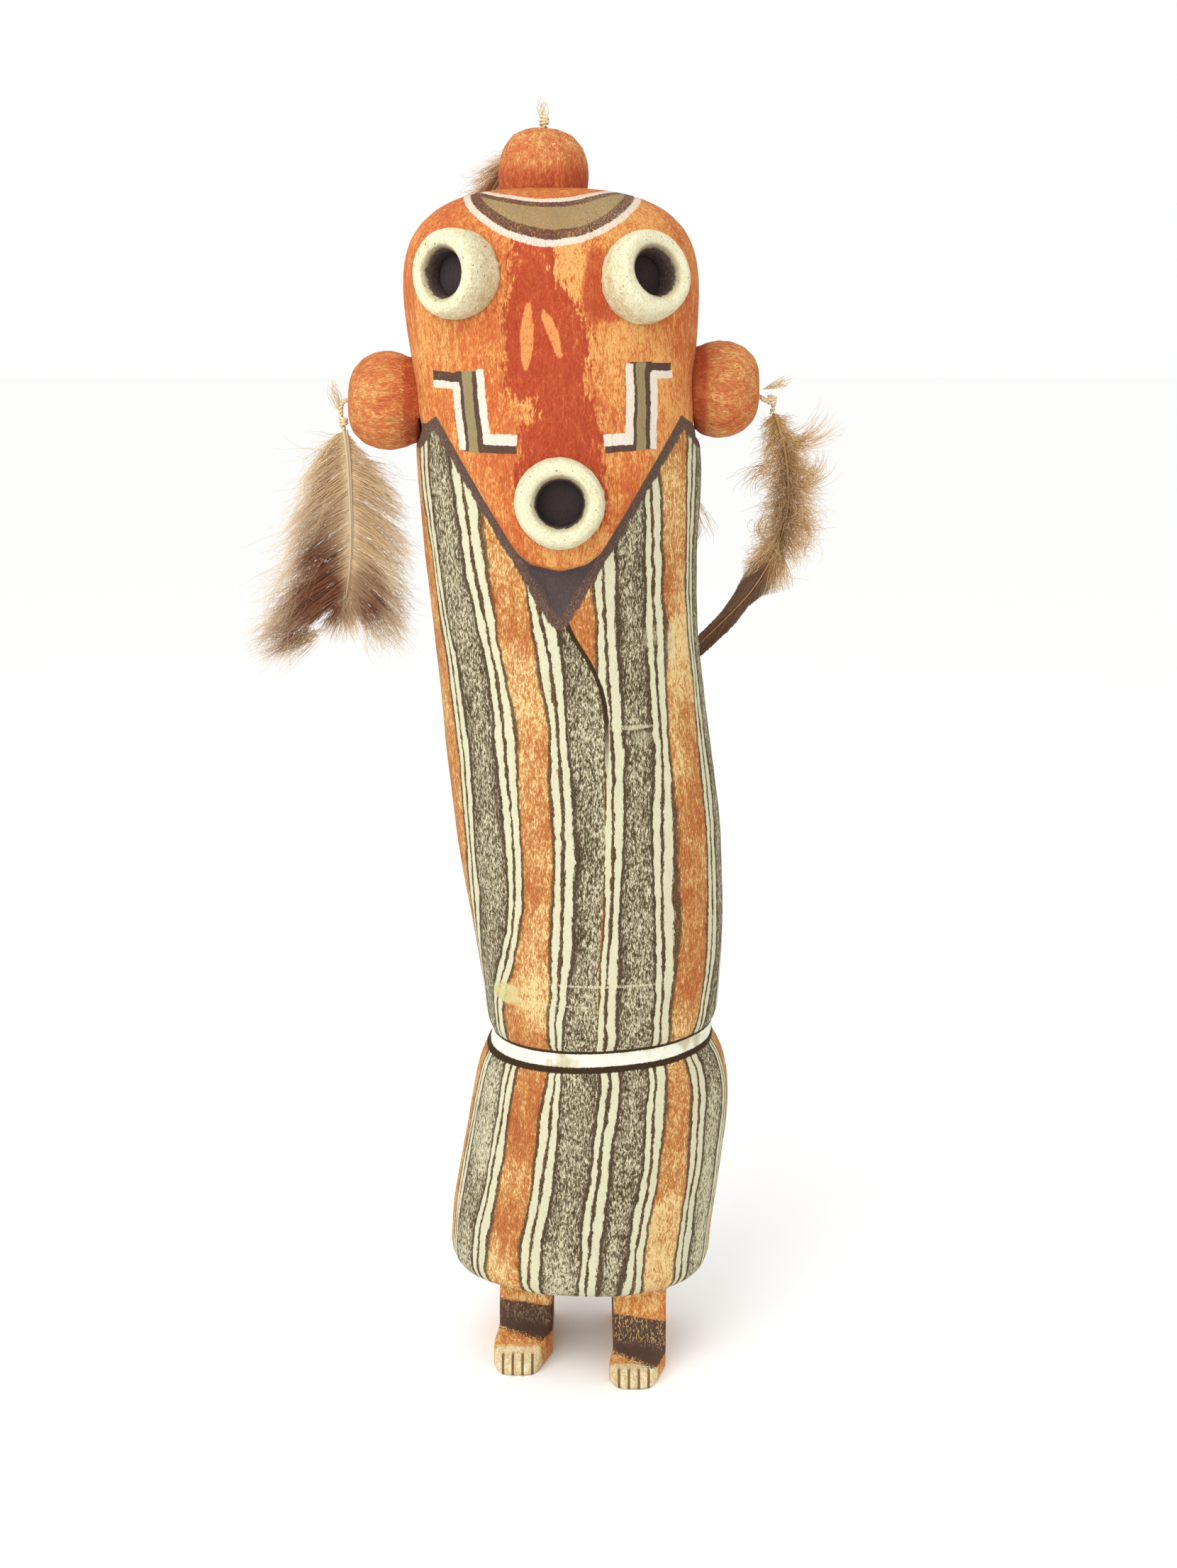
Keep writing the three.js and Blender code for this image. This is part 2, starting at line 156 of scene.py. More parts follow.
TOE_TONES = ((0.82, 0.72, 0.48), (0.68, 0.52, 0.27), (0.60, 0.40, 0.18), (0.5, 0.28, 0.11),
             (0.22, 0.14, 0.06))
KNOB_TONES = ((0.74, 0.46, 0.18), (0.64, 0.29, 0.095), (0.53, 0.15, 0.052), (0.40, 0.075, 0.03),
              (0.22, 0.04, 0.018))
TUBE_TONES = ((0.72, 0.69, 0.48), (0.65, 0.58, 0.37), (0.57, 0.44, 0.25), (0.43, 0.31, 0.16),
              (0.27, 0.21, 0.12))
# The neck's tones are dark paint and painted shade of the recess under the chin and collar.
NECK_PAINT_AND_SHADE_TONES = ((0.085, 0.062, 0.062), (0.13, 0.095, 0.085))
# The dish's two tones are a lit tone and a painted shade tone.
DISH_LIT_AND_SHADE_TONES = ((0.52, 0.46, 0.26), (0.24, 0.185, 0.095))
BORE_TONES = ((0.060, 0.040, 0.040), (0.12, 0.075, 0.06))
INSIDE_BORE = (0.055, 0.038, 0.038)
SPECK = (0.12, 0.11, 0.08)
CREAM, DULL_CREAM, GRIMY_CREAM = (0.65, 0.62, 0.43), (0.62, 0.60, 0.36), (0.42, 0.39, 0.22)
CHALK = (0.75, 0.65, 0.54)
BROWN, WORN_BROWN = (0.098, 0.055, 0.04), (0.20, 0.14, 0.11)
DARK, WORN_DARK = (0.045, 0.026, 0.013), (0.21, 0.15, 0.085)
OLIVE = (0.29, 0.225, 0.11)
BARE_OCHRE, SCRATCHED = (0.62, 0.53, 0.24), (0.66, 0.62, 0.40)
BELT_WHITE, BELT_STAIN = (0.86, 0.84, 0.70), (0.60, 0.53, 0.36)
# The toe gaps' tone is dark paint and painted shade of the grooves between the toes.
STRAP_FLECK, TOE_GAP_DAB_AND_SHADE = (0.62, 0.42, 0.19), (0.20, 0.12, 0.055)
PALE_DOWN = (0.80, 0.66, 0.46)


# ---- meshes -------------------------------------------------------------------------------

def link(name, mesh):
    piece = bpy.data.objects.new(name, mesh)
    bpy.context.scene.collection.objects.link(piece)
    return piece


def baked(rough):
    """A piece with the mesh that another shows, in place of that other."""
    shown = rough.evaluated_get(bpy.context.evaluated_depsgraph_get())
    mesh = bpy.data.meshes.new_from_object(shown)
    name, source = rough.name, rough.data
    bpy.data.objects.remove(rough)
    (bpy.data.meshes if isinstance(source, bpy.types.Mesh) else bpy.data.curves).remove(source)
    mesh.name = name
    return link(name, mesh)


def merged_copy(node):
    shape = bmesh.new()
    shape.from_mesh(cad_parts[node].data)
    bmesh.ops.remove_doubles(shape, verts=shape.verts, dist=1e-6)
    return shape


def kept_side(shape, height, keep_above):
    """Cuts a closed form level at a height and closes the cut."""
    cut = bmesh.ops.bisect_plane(
        shape, geom=shape.verts[:] + shape.edges[:] + shape.faces[:], dist=1e-7,
        plane_co=(0, 0, height), plane_no=(0, 0, 1), clear_inner=keep_above,
        clear_outer=not keep_above)
    rim = [part for part in cut["geom_cut"] if isinstance(part, bmesh.types.BMEdge)]
    bmesh.ops.contextual_create(shape, geom=rim)
    bmesh.ops.holes_fill(shape, edges=[e for e in shape.edges if e.is_boundary], sides=0)
    return shape


def even_skin(name, shape, cell):
    """A new piece with an even mesh over a closed form."""
    mesh = bpy.data.meshes.new(name)
    shape.to_mesh(mesh)
    shape.free()
    piece = link(name, mesh)
    skin = piece.modifiers.new("even_skin", "REMESH")
    skin.mode = "VOXEL"
    skin.voxel_size = cell
    return baked(piece)


def ease(shape, points, rounds):
    for _ in range(rounds):
        bmesh.ops.smooth_vert(shape, verts=points, factor=0.5, use_axis_x=True, use_axis_y=True,
                              use_axis_z=True)


def ease_and_carve(piece, rounds, depth, grain, free=None, free_rounds=0):
    """Rounds a skin, more where free allows, then gives it the marks of the knife."""
    shape = bmesh.new()
    shape.from_mesh(piece.data)
    if free:
        ease(shape, [v for v in shape.verts if free(v.co)], free_rounds)
    ease(shape, shape.verts, rounds)
    shape.normal_update()
    for vertex in shape.verts:
        spot = vertex.co / MM
        cut = noise.noise(Vector((spot.x / 9, spot.y / 9, spot.z / 16)))
        rasp = noise.noise(Vector((spot.x / 1.7, spot.y / 1.7, spot.z / 5.0)) + Vector((40, 0, 0)))
        vertex.co += vertex.normal * (depth * cut + grain * rasp)
    shape.to_mesh(piece.data)
    shape.free()


def bed(piece, reach=0.0009, press=0.0011):
    """Presses a piece's faces that meet the root into it, as glue and paint close the joint."""
    root = merged_copy("figure")
    skin = BVHTree.FromBMesh(root)
    root.free()
    for vertex in piece.data.vertices:
        spot, normal, _, gap = skin.find_nearest(vertex.co, reach)
        if spot is not None:
            vertex.co -= normal * press * max(1 - gap / reach, 0) ** 0.5


def keep_numbers(piece, name, values):
    guide = piece.data.attributes.new(name, "FLOAT", "POINT")
    guide.data.foreach_set("value", np.asarray(values, np.float32))


def points_of(piece):
    """The mesh's points in millimetres from the datum."""
    points = np.zeros(len(piece.data.vertices) * 3)
    piece.data.vertices.foreach_get("co", points)
    return (points.reshape(-1, 3) - np.array(DATUM)) / MM


def settle(piece, material, slot, *nodes):
    """A finished piece: painted, smooth, riding on the doll and standing for its solids."""
    piece.data.materials.clear()
    piece.data.materials.append(material)
    piece.data.polygons.foreach_set("use_smooth", [True] * len(piece.data.polygons))
    piece.data.update()
    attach(piece, BODY)
    if nodes:
        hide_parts(*nodes)


# ---- guides for the painter ---------------------------------------------------------------

def distance(across, up, line):
    """Distance to the nearest stretch of a line."""
    gap = np.full(len(across), np.inf)
    for (x0, z0), (x1, z1) in zip(line, line[1:]):
        run = np.array([x1 - x0, z1 - z0], float)
        share = np.clip(((across - x0) * run[0] + (up - z0) * run[1]) / run.dot(run), 0, 1)
        gap = np.minimum(gap, np.hypot(across - x0 - share * run[0], up - z0 - share * run[1]))
    return gap


def clearance(across, up, line):
    """Distance to a line that runs from left to right, positive above it."""
    gap = distance(across, up, line)
    return np.where(up > np.interp(across, *zip(*line)), gap, -gap)


def inside_clearance(across, up, outline):
    """Distance to a closed outline, positive inside it."""
    line = outline + outline[:1]
    inside = np.zeros(len(across), bool)
    for (x0, z0), (x1, z1) in zip(line, line[1:]):
        if z0 != z1:
            crossing = x0 + (up - z0) * (x1 - x0) / (z1 - z0)
            inside ^= ((up < z0) != (up < z1)) & (across < crossing)
    gap = distance(across, up, line)
    return np.where(inside, gap, -gap)


GIRTH_FROM, GIRTH_TO, GIRTH_STEP = 24, 232, 3.0
CHEST = 205.0  # the height whose middle the collar and the mask are laid out from
ROW_EASING = 6  # how far each way the stripes' rows are eased, in millimetres of height
# From the right flap's first pair to the pairs that the lap hides, further right and further left.
HIDDEN_RIGHT, HIDDEN_LEFT = 8, 40


def girth(points):
    """Middle, half width, front and back of the root at each point's height."""
    levels = np.arange(GIRTH_FROM, GIRTH_TO, GIRTH_STEP)
    rows = []
    for level in levels:
        ring = points[np.abs(points[:, 2] - level) < GIRTH_STEP / 2]
        left, right = ring[:, 0].min(), ring[:, 0].max()
        front = -ring[:, 1].min() if level < CHIN_FOOT else rows[-1][2]
        rows.append(((left + right) / 2, (right - left) / 2, front, ring[:, 1].max()))
    rows = np.array(rows)
    return [np.interp(points[:, 2], levels, rows[:, i]) for i in range(4)]


def smooth_rows(rows, up):
    """Values at each height, eased between the rows."""
    rows = sorted(rows)
    heights = np.arange(rows[0][0], rows[-1][0] + 0.5, 1.0)
    table = np.array(rows, float)
    window = np.ones(2 * ROW_EASING + 1) / (2 * ROW_EASING + 1)
    found = []
    for column in table.T[1:]:
        padded = np.pad(np.interp(heights, table[:, 0], column), ROW_EASING, mode="edge")
        found.append(np.interp(up, heights, np.convolve(padded, window, "valid")))
    return found


def number_stripes(angle, pairs, first):
    """Counts white pairs round the body: whole at the middle of each pair."""
    number = np.full(len(angle), first - PAIR_SHARE)
    for i, middle in enumerate(pairs):
        number += (np.clip((angle - middle) / PAIR_REACH, -1, 1) + 1) * PAIR_SHARE
        if i + 1 < len(pairs):
            start, stop = middle + PAIR_REACH, pairs[i + 1] - PAIR_REACH
            number += np.clip((angle - start) / (stop - start), 0, 1) * (1 - 2 * PAIR_SHARE)
    return number


def spread_pairs(near, side):
    """The pairs that follow the last one seen from the front, evenly round to the back."""
    left = LAST_PAIR - 3 if side < 0 else LAST_PAIR - 2
    return [near + (side * BACK_PAIR - near) * step / left for step in range(1, left + 1)]


def stripe_guides(points):
    """The stripes' numbering for each half, the distance past the lap, and the doll's middle."""
    across, deep, up = points.T
    middle, half, front, back = girth(points)
    side = (across - middle) / half
    rear = -deep / np.where(deep < 0, front, back)
    angle = np.degrees(np.arctan2(side, rear))
    lower = up < BLANKET_EDGE[0] - 1.5
    flap_left, flap_right, skirt = (smooth_rows(t, up) for t in (LEFT_FLAP, RIGHT_FLAP, SKIRT))
    from_left = np.where(angle > 90, angle - 360, angle)
    from_right = np.where(angle < -90, angle + 360, angle)
    lap = flap_right[0]
    blanket_left = spread_pairs(flap_left[0], -1)[::-1] + flap_left + [lap + HIDDEN_RIGHT]
    blanket_right = [lap - HIDDEN_LEFT] + flap_right + spread_pairs(flap_right[2], 1)
    skirt_left = spread_pairs(skirt[0], -1)[::-1] + skirt
    skirt_right = skirt + spread_pairs(skirt[5], 1)
    lap_line = smooth_rows(LAP, up)[0]
    behind = np.clip((deep + 4) / 8, 0, 1)
    past_lap = np.where(lower, across - middle,
                        (1 - behind) * (angle - lap_line) * MM_PER_DEGREE
                        + behind * (across - middle))
    return (np.where(lower, number_stripes(from_left, skirt_left, -LAST_PAIR),
                     number_stripes(from_left, blanket_left, -LAST_PAIR)),
            np.where(lower, number_stripes(from_right, skirt_right, -3),
                     number_stripes(from_right, blanket_right, -1)), past_lap, middle)


def guide_painter(piece):
    points = points_of(piece)
    across, deep, up = points.T
    left, right, lap, middle = stripe_guides(points)
    chest = np.interp(CHEST, up[np.argsort(up)], middle[np.argsort(up)])
    behind = np.clip((deep + 10) / 10, 0, 1)
    behind = behind * behind * (3 - 2 * behind)
    for name, line in (("above_collar", COLLAR_LINE), ("above_chin", MASK_LINE)):
        front = clearance(across - chest, up, line)
        keep_numbers(piece, name, front * (1 - behind) + (up - COLLAR_BACK) * behind)
    hidden = np.where(deep < 0, 0.0, -50.0)
    keep_numbers(piece, "red_coat", inside_clearance(across, up, RED_COAT) + hidden)
    keep_numbers(piece, "worn_marks", hidden + np.maximum(
        *(inside_clearance(across, up, mark) for mark in WORN_MARKS)))
    keep_numbers(piece, "stripes_left", left)
    keep_numbers(piece, "stripes_right", right)
    keep_numbers(piece, "past_lap", lap)
    edge, rise = BLANKET_EDGE
    keep_numbers(piece, "above_edge", up - edge - rise * (across - middle))


# ---- node building ------------------------------------------------------------------------

class Value:
    """A number, a vector or a colour on its way through one node tree."""

    def __init__(self, nodes, socket):
        self.nodes, self.socket = nodes, socket

    def by(self, operation, *others, clamp=False):
        return self.nodes.maths(operation, self, *others, clamp=clamp)

    def __add__(self, other):
        return self.by("ADD", other)

    def __sub__(self, other):
        return self.by("SUBTRACT", other)

    def __rsub__(self, other):
        return self.nodes.maths("SUBTRACT", other, self)

    def __mul__(self, other):
        return self.by("MULTIPLY", other)

    def __truediv__(self, other):
        return self.by("DIVIDE", other)

    def __rtruediv__(self, other):
        return self.nodes.maths("DIVIDE", other, self)

    def __abs__(self):
        return self.by("ABSOLUTE")

    def clamped(self):
        return self.by("ADD", 0.0, clamp=True)

    def step(self, low, high):
        """0 below low and 1 above high, eased between; low may lie above high."""
        return self.nodes.add("MapRange", 0, self, low, high, 0.0, 1.0,
                              interpolation_type="SMOOTHSTEP")


class Nodes:
    """Adds nodes to one tree. A source is a Value to link, or a plain number or tuple to set."""

    def __init__(self, tree):
        self.tree = tree

    def feed(self, socket, source):
        if isinstance(source, Value):
            self.tree.links.new(source.socket, socket)
        elif source is not None:
            wide = hasattr(socket.default_value, "__len__") and len(socket.default_value) == 4
            socket.default_value = (*source, 1.0) if wide and len(source) == 3 else source

    def add(self, kind, output, *sources, **settings):
        """The given output of a new node."""
        made = self.tree.nodes.new("ShaderNode" + kind)
        for key, value in settings.items():
            setattr(made, key, value)
        for socket, source in zip(made.inputs, sources):
            self.feed(socket, source)
        return Value(self, made.outputs[output])

    def maths(self, operation, *sources, clamp=False):
        return self.add("Math", 0, *sources, operation=operation, use_clamp=clamp)

    def vector(self, operation, *sources):
        measured = operation in ("DOT_PRODUCT", "DISTANCE")
        return self.add("VectorMath", 1 if measured else 0, *sources, operation=operation)

    def joined(self, right, back, up):
        return self.add("CombineXYZ", 0, right, back, up)

    def parted(self, place):
        """A place's three measures."""
        made = self.tree.nodes.new("ShaderNodeSeparateXYZ")
        self.feed(made.inputs[0], place)
        return SimpleNamespace(**{name: Value(self, socket)
                                  for name, socket in zip(("right", "back", "up"), made.outputs)})

    def mix(self, share, below, above):
        made = self.tree.nodes.new("ShaderNodeMix")
        made.data_type = "RGBA"
        for number, source in ((0, share), (6, below), (7, above)):
            self.feed(made.inputs[number], source)
        return Value(self, made.outputs[2])

    def lerp(self, share, below, above):
        made = self.tree.nodes.new("ShaderNodeMix")
        for number, source in ((0, share), (2, below), (3, above)):
            self.feed(made.inputs[number], source)
        return Value(self, made.outputs[0])

    def noise(self, place, scale=1.0, detail=2.0, roughness=0.55, output="Fac"):
        made = self.tree.nodes.new("ShaderNodeTexNoise")
        for name, source in (("Vector", place), ("Scale", scale), ("Detail", detail),
                             ("Roughness", roughness)):
            self.feed(made.inputs[name], source)
        return Value(self, made.outputs[output])

    def drift(self, place, scale, detail, reach):
        """A wandering shift of a place, up to half the reach each way."""
        cloud = self.noise(place, scale, detail, output="Color")
        return self.vector("SCALE", self.vector("SUBTRACT", cloud, (0.5, 0.5, 0.5)), None, None,
                           reach)

    def guide(self, name):
        return self.add("Attribute", "Fac", attribute_name=name)

    def given(self, node):
        return SimpleNamespace(**{s.name.lower(): Value(self, s) for s in node.outputs if s.name})

    def use(self, name, **sources):
        made = self.tree.nodes.new("ShaderNodeGroup")
        made.node_tree = GROUPS[name]
        for title, source in sources.items():
            self.feed(made.inputs[title.capitalize()], source)
        return self.given(made)

    def give(self, **results):
        """Closes a group with its results."""
        made = self.tree.nodes.new("NodeGroupOutput")
        for title, source in results.items():
            self.feed(made.inputs[title.capitalize()], source)
        GROUPS[self.tree.name] = self.tree


GROUPS = {}


def new_group(name, outputs, **inputs):
    """A group to fill: its outputs' kinds, and its inputs with their defaults, None for a place."""
    tree = bpy.data.node_groups.new(name, "ShaderNodeTree")
    for title, value in inputs.items():
        kind = "Vector" if value is None else "Float" if isinstance(value, float) else "Color"
        socket = tree.interface.new_socket(title.capitalize(), in_out="INPUT",
                                           socket_type="NodeSocket" + kind)
        if value is not None:
            socket.default_value = (*value, 1.0) if kind == "Color" else value
    for title, kind in outputs.items():
        tree.interface.new_socket(title.capitalize(), in_out="OUTPUT",
                                  socket_type="NodeSocket" + kind)
    n = Nodes(tree)
    return n, n.given(tree.nodes.new("NodeGroupInput"))


def make_own_measure():
    """Object coordinates in millimetres from the datum, plain and as a shaky hand sees them."""
    n, _ = new_group("own_measure", {"place": "Vector", "hand": "Vector"})
    place = n.vector("MULTIPLY_ADD", n.add("TexCoord", "Object"), (1 / MM,) * 3,
                     tuple(-DATUM / MM))
    hand = n.vector("ADD", place, n.drift(place, 0.11, 1.0, 1.3))
    n.give(place=place, hand=n.vector("ADD", hand, n.drift(place, 0.9, 2.0, 0.55)))


def make_wood_fibre():
    """The scraped fibres of the wood, wavy along Z, from broad brush strokes to thin cracks."""
    n, given = new_group(
        "wood_fibre", dict.fromkeys(("brush", "streak", "fine", "blotch"), "Float"), place=None,
        width=1.0, length=3.2)
    place = n.vector("ADD", given.place, n.drift(given.place, 0.14, 2.0, 2.0))
    thin = 1.0 / given.width
    drawn = n.vector("MULTIPLY", place, n.joined(thin, thin, thin / given.length))
    n.give(brush=n.noise(drawn, 0.85, 2.0, 0.6), streak=n.noise(drawn, 2.9, 2.0, 0.65),
           fine=n.noise(drawn, 6.2, 1.0, 0.6), blotch=n.noise(given.place, 0.085, 3.0, 0.6))


def make_worn_paint():
    """Thin paint rubbed over wood: from bare pale fibres, through stained wood, to full paint."""
    n, given = new_group(
        "worn_paint", {"colour": "Color"}, pale=(0.9, 0.7, 0.4), wood=(0.8, 0.5, 0.2),
        paint=(0.6, 0.2, 0.1), deep=(0.4, 0.1, 0.05), crack=(0.2, 0.05, 0.02), cover=0.6,
        brush=0.5, streak=0.5, fine=0.5, rough=1.5)
    held = ((given.brush - 0.5) * 1.1 + given.cover + (given.streak - 0.5) * given.rough
            + (given.fine - 0.5) * (given.rough * 0.55))
    colour = n.mix(held.step(0.0, 0.36), given.pale, given.wood)
    colour = n.mix(held.step(0.26, 0.62), colour, given.paint)
    colour = n.mix(held.step(0.66, 1.05), colour, given.deep)
    colour = n.mix(given.fine.step(0.62, 0.78) * 0.45, colour, given.pale)
    n.give(colour=n.mix(given.fine.step(0.39, 0.25) * 0.6, colour, given.crack))


def make_stripe_pair():
    """Two white lines with dark outlines at each whole number, and which bands between are odd."""
    n, given = new_group(
        "stripe_pair", dict.fromkeys(("white", "outline", "shade", "odd"), "Float"),
        number=0.0, place=None, streak=0.5)
    off = (given.number - given.number.by("ROUND")) * (PAIR_REACH * MM_PER_DEGREE / PAIR_SHARE)
    off = off + (n.noise(given.place, 0.07, 1.0) - 0.5) * 1.1
    spread = n.noise(n.vector("MULTIPLY", given.place, (0.11, 0.11, 0.036)), 1.0, 1.0)
    off = off / ((spread - 0.5) * 1.5 + 1.0)
    gap = abs(off)
    ragged = (given.streak - 0.5) * 0.9
    width = n.noise(given.place, 0.16, 1.0) * 0.75 + 0.40 + off.by("SIGN") * 0.06
    inside = width - abs(gap - LINE_OFF) + ragged
    rim = width + OUTLINE_OFF + ragged - gap
    n.give(white=inside.step(-0.09, 0.09), outline=rim.step(-0.35, 0.3), shade=gap.step(5.2, 2.6),
           odd=abs(given.number).by("FLOOR").by("MODULO", 2.0))


def make_painted_bar():
    """A leaning bar on the front view, with soft hand-made ends."""
    n, given = new_group("painted_bar", {"mask": "Float"}, place=None, across=0.0, lean=0.0,
                         half=1.0, low=0.0, high=1.0)
    spot = n.parted(given.place)
    up = spot.up - (given.low + given.high) * 0.5
    aside = abs(spot.right - (given.lean * up + given.across)) - given.half
    beyond = abs(up) - (given.high - given.low) * 0.5
    n.give(mask=aside.by("SMOOTH_MAX", beyond, 0.35).step(0.1, -0.1))


def make_groups():
    for make in (make_own_measure, make_wood_fibre, make_worn_paint, make_stripe_pair,
                 make_painted_bar):
        make()


def new_paint(name, roughness=0.72):
    material = bpy.data.materials.new(name)
    material.use_nodes = True
    shader = material.node_tree.nodes["Principled BSDF"]
    shader.inputs["Roughness"].default_value = roughness
    shader.inputs["Specular IOR Level"].default_value = 0.06
    return material, Nodes(material.node_tree), shader


def raise_relief(n, shader, height, distance):
    """Turns a height between 0 and 1 into relief of that distance, in millimetres."""
    bump = n.tree.nodes.new("ShaderNodeBump")
    bump.inputs["Strength"].default_value = 1.0
    bump.inputs["Distance"].default_value = distance * MM
    n.feed(bump.inputs["Height"], height)
    n.tree.links.new(bump.outputs[0], shader.inputs["Normal"])


def worn(n, fibre, tones, cover, rough=1.7):
    """Worn paint in its five tones, from bare wood to cracks."""
    return n.use("worn_paint", cover=cover, brush=fibre.brush, streak=fibre.streak,
                 fine=fibre.fine, rough=rough,
                 **dict(zip(("pale", "wood", "paint", "deep", "crack"), tones))).colour


# ---- the painted root ---------------------------------------------------------------------

# Bars of the cheek marks by colour, laid in this order: [across, lean, half width, low, high].
CHEEKS = {
    BROWN: [
        (-25.4, -0.085, 2.3, 221.8, 238.6), (-30.4, 0.0, 2.9, 236.3, 238.4),
        (-19.4, 0.0, 4.1, 221.6, 223.8),
        (11.3, 0.01, 2.4, 222.0, 240.4), (14.9, 0.0, 3.0, 238.2, 240.0),
        (6.9, 0.0, 3.4, 221.8, 223.6),
    ],
    OLIVE: [(-25.3, -0.085, 1.0, 221.7, 238.7), (11.3, 0.0, 0.98, 221.9, 240.3)],
    CHALK: [
        (-27.7, -0.07, 0.74, 222.0, 236.4), (-30.7, 0.0, 2.6, 234.8, 236.4),
        (-22.4, -0.09, 0.85, 223.4, 238.9), (-18.7, 0.02, 3.6, 223.3, 225.6),
        (8.8, 0.02, 0.86, 223.2, 240.1), (6.0, 0.02, 2.8, 223.2, 225.6),
        (13.95, 0.02, 0.68, 222.1, 238.2), (16.0, 0.03, 2.2, 236.9, 238.5),
    ],
}
# The crescent on the brow, on a plane that leans back with it: [across, up, radius].
BROW_LEAN = (0.0, 0.5, 0.866)
CRESCENT_LOW = (-7.8, 234.6, 19.2)
CRESCENT_TOP = (-9.0, 243.0, 14.9)
# Places where the paint differs, all as [across, up, half width, half height, strength]. On the
# mask it is thin or thick; the first two thick places, at the foot of the right eye tube, are
# darker strokes and painted shade where the tube meets the mask.
THIN_SPOTS = [(8.5, 241.5, 9.0, 9.0, 0.30), (-4.0, 259.5, 3.6, 7.5, 0.34), (-2, 201, 9, 5, 0.22),
              (-26, 214, 6, 12, 0.14), (17, 226, 7, 16, 0.16), (-33, 240, 6, 22, 0.12),
              (-14.0, 230.4, 2.6, 2.6, 0.2), (10, 268, 8, 6, 0.16), (-17, 270, 7, 5, 0.12)]
THICK_PAINT_AND_SHADE_SPOTS = [(1.4, 256.5, 2.6, 7.5, 0.5), (5.2, 251.4, 4.0, 2.6, 0.4), (-22, 262, 5, 9, 0.1),
               (-31, 205, 6, 9, 0.2), (-20, 216, 5, 8, 0.1), (12, 214, 4, 9, 0.1)]
# On the cloth the grey is chalky and the orange faded or deep, and some is rubbed or scratched.
CHALKY_SPOTS = [(-23.0, 64.0, 6.0, 13.0, 0.34), (27.0, 52.0, 5.0, 22.0, 0.36),
                (-25.0, 205.0, 7.0, 20.0, 0.12)]
FADED_SPOTS = [(25.0, 180.0, 8.0, 18.0, 0.35), (20.0, 34.0, 8.0, 15.0, 0.30),
               (-16.0, 165.0, 6.0, 14.0, 0.16), (-9.0, 98.0, 8.0, 8.0, 0.3)]
DEEP_SPOTS = [(-15.0, 72.0, 6.0, 14.0, 0.26), (24.0, 120.0, 6.0, 22.0, 0.14)]
RUBBED_SPOTS = [(-19.0, 97.6, 2.9, 2.6, 0.95), (-17.0, 96.0, 5.5, 1.0, 0.5),
                (-14.0, 99.4, 4.0, 0.7, 0.4)]
SCRATCHES = [(4.0, 101.8, 14.0, 0.32, 0.8), (9.5, 161.2, 5.0, 0.5, 0.75),
             (-8.0, 96.8, 9.0, 0.25, 0.6), (12.0, 158.6, 2.4, 1.6, 0.35),
             (13.5, 181.0, 1.6, 2.6, 0.5), (18.5, 179.0, 1.2, 4.4, 0.35)]


def spots(spot, table, rim=1.5, core=0.5):
    """Soft ovals on the front view, added together; rim and core say where they start and peak."""
    ovals = []
    for across, up, wide, tall, strength in table:
        aside, above = (spot.right - across) / wide, (spot.up - up) / tall
        ovals.append((aside * aside + above * above).step(rim, core) * strength)
    return reduce(lambda total, oval: total + oval, ovals)


def paint_crescent(n, hand, spot, fibre, front, colour):
    """A crescent on the brow, chalk outside, brown within and olive in its middle."""
    tilted = n.joined(spot.right, n.vector("DOT_PRODUCT", hand, BROW_LEAN), 0.0)
    low, top = (radius - n.vector("DISTANCE", tilted, (across, up, 0.0))
                + (fibre.streak - 0.5) * 0.8
                for across, up, radius in (CRESCENT_LOW, CRESCENT_TOP))
    top = top * -1.0
    inside = low.step(-0.1, 0.1).by("MINIMUM", top.step(-0.1, 0.1)) * front
    brown = low.step(1.35, 1.6).by("MINIMUM", top.step(1.3, 1.5))
    olive = low.step(3.6, 3.8).by("MINIMUM", top.step(2.9, 3.1))
    drips = fibre.fine.step(0.60, 0.70) * spot.right.step(-6.0, 0.0)
    moon = n.mix(olive, n.mix(brown, CHALK, BROWN), OLIVE)
    moon = n.mix(drips * 0.8, moon, CHALK)
    return n.mix(inside * n.lerp(fibre.streak.step(0.30, 0.55), 0.55, 0.96), colour, moon)


def paint_mask(n, hand, spot, fibre, front):
    """The mask: a worn first coat, a red second coat down the middle, and its painted marks."""
    # Thick places deepen the paint; beside the right eye tube's foot they are also painted shade.
    cover = (fibre.blotch * 0.9 - spots(spot, THIN_SPOTS) * front
             + spots(spot, THICK_PAINT_AND_SHADE_SPOTS) * front)
    first = worn(n, fibre, MASK_TONES, cover)
    marks = n.guide("worn_marks").step(-0.25, 0.25)
    second = worn(n, fibre, COAT_TONES, fibre.blotch * 0.7 + 0.38 - marks * 0.93)
    brushed = (fibre.brush - 0.5) * 7.0 + (fibre.streak - 0.5) * 4.0
    colour = n.mix((n.guide("red_coat") + brushed).step(-0.7, 0.7), first, second)
    colour = paint_crescent(n, hand, spot, fibre, front, colour)
    for tone, bars in CHEEKS.items():
        masks = [n.use("painted_bar", place=hand, across=across, lean=lean, half=half, low=low,
                       high=high).mask for across, lean, half, low, high in bars]
        shown = reduce(lambda total, mask: total.by("MAXIMUM", mask), masks) * front
        colour = n.mix(shown * fibre.streak.step(0.20, 0.32), colour, tone)
    return colour


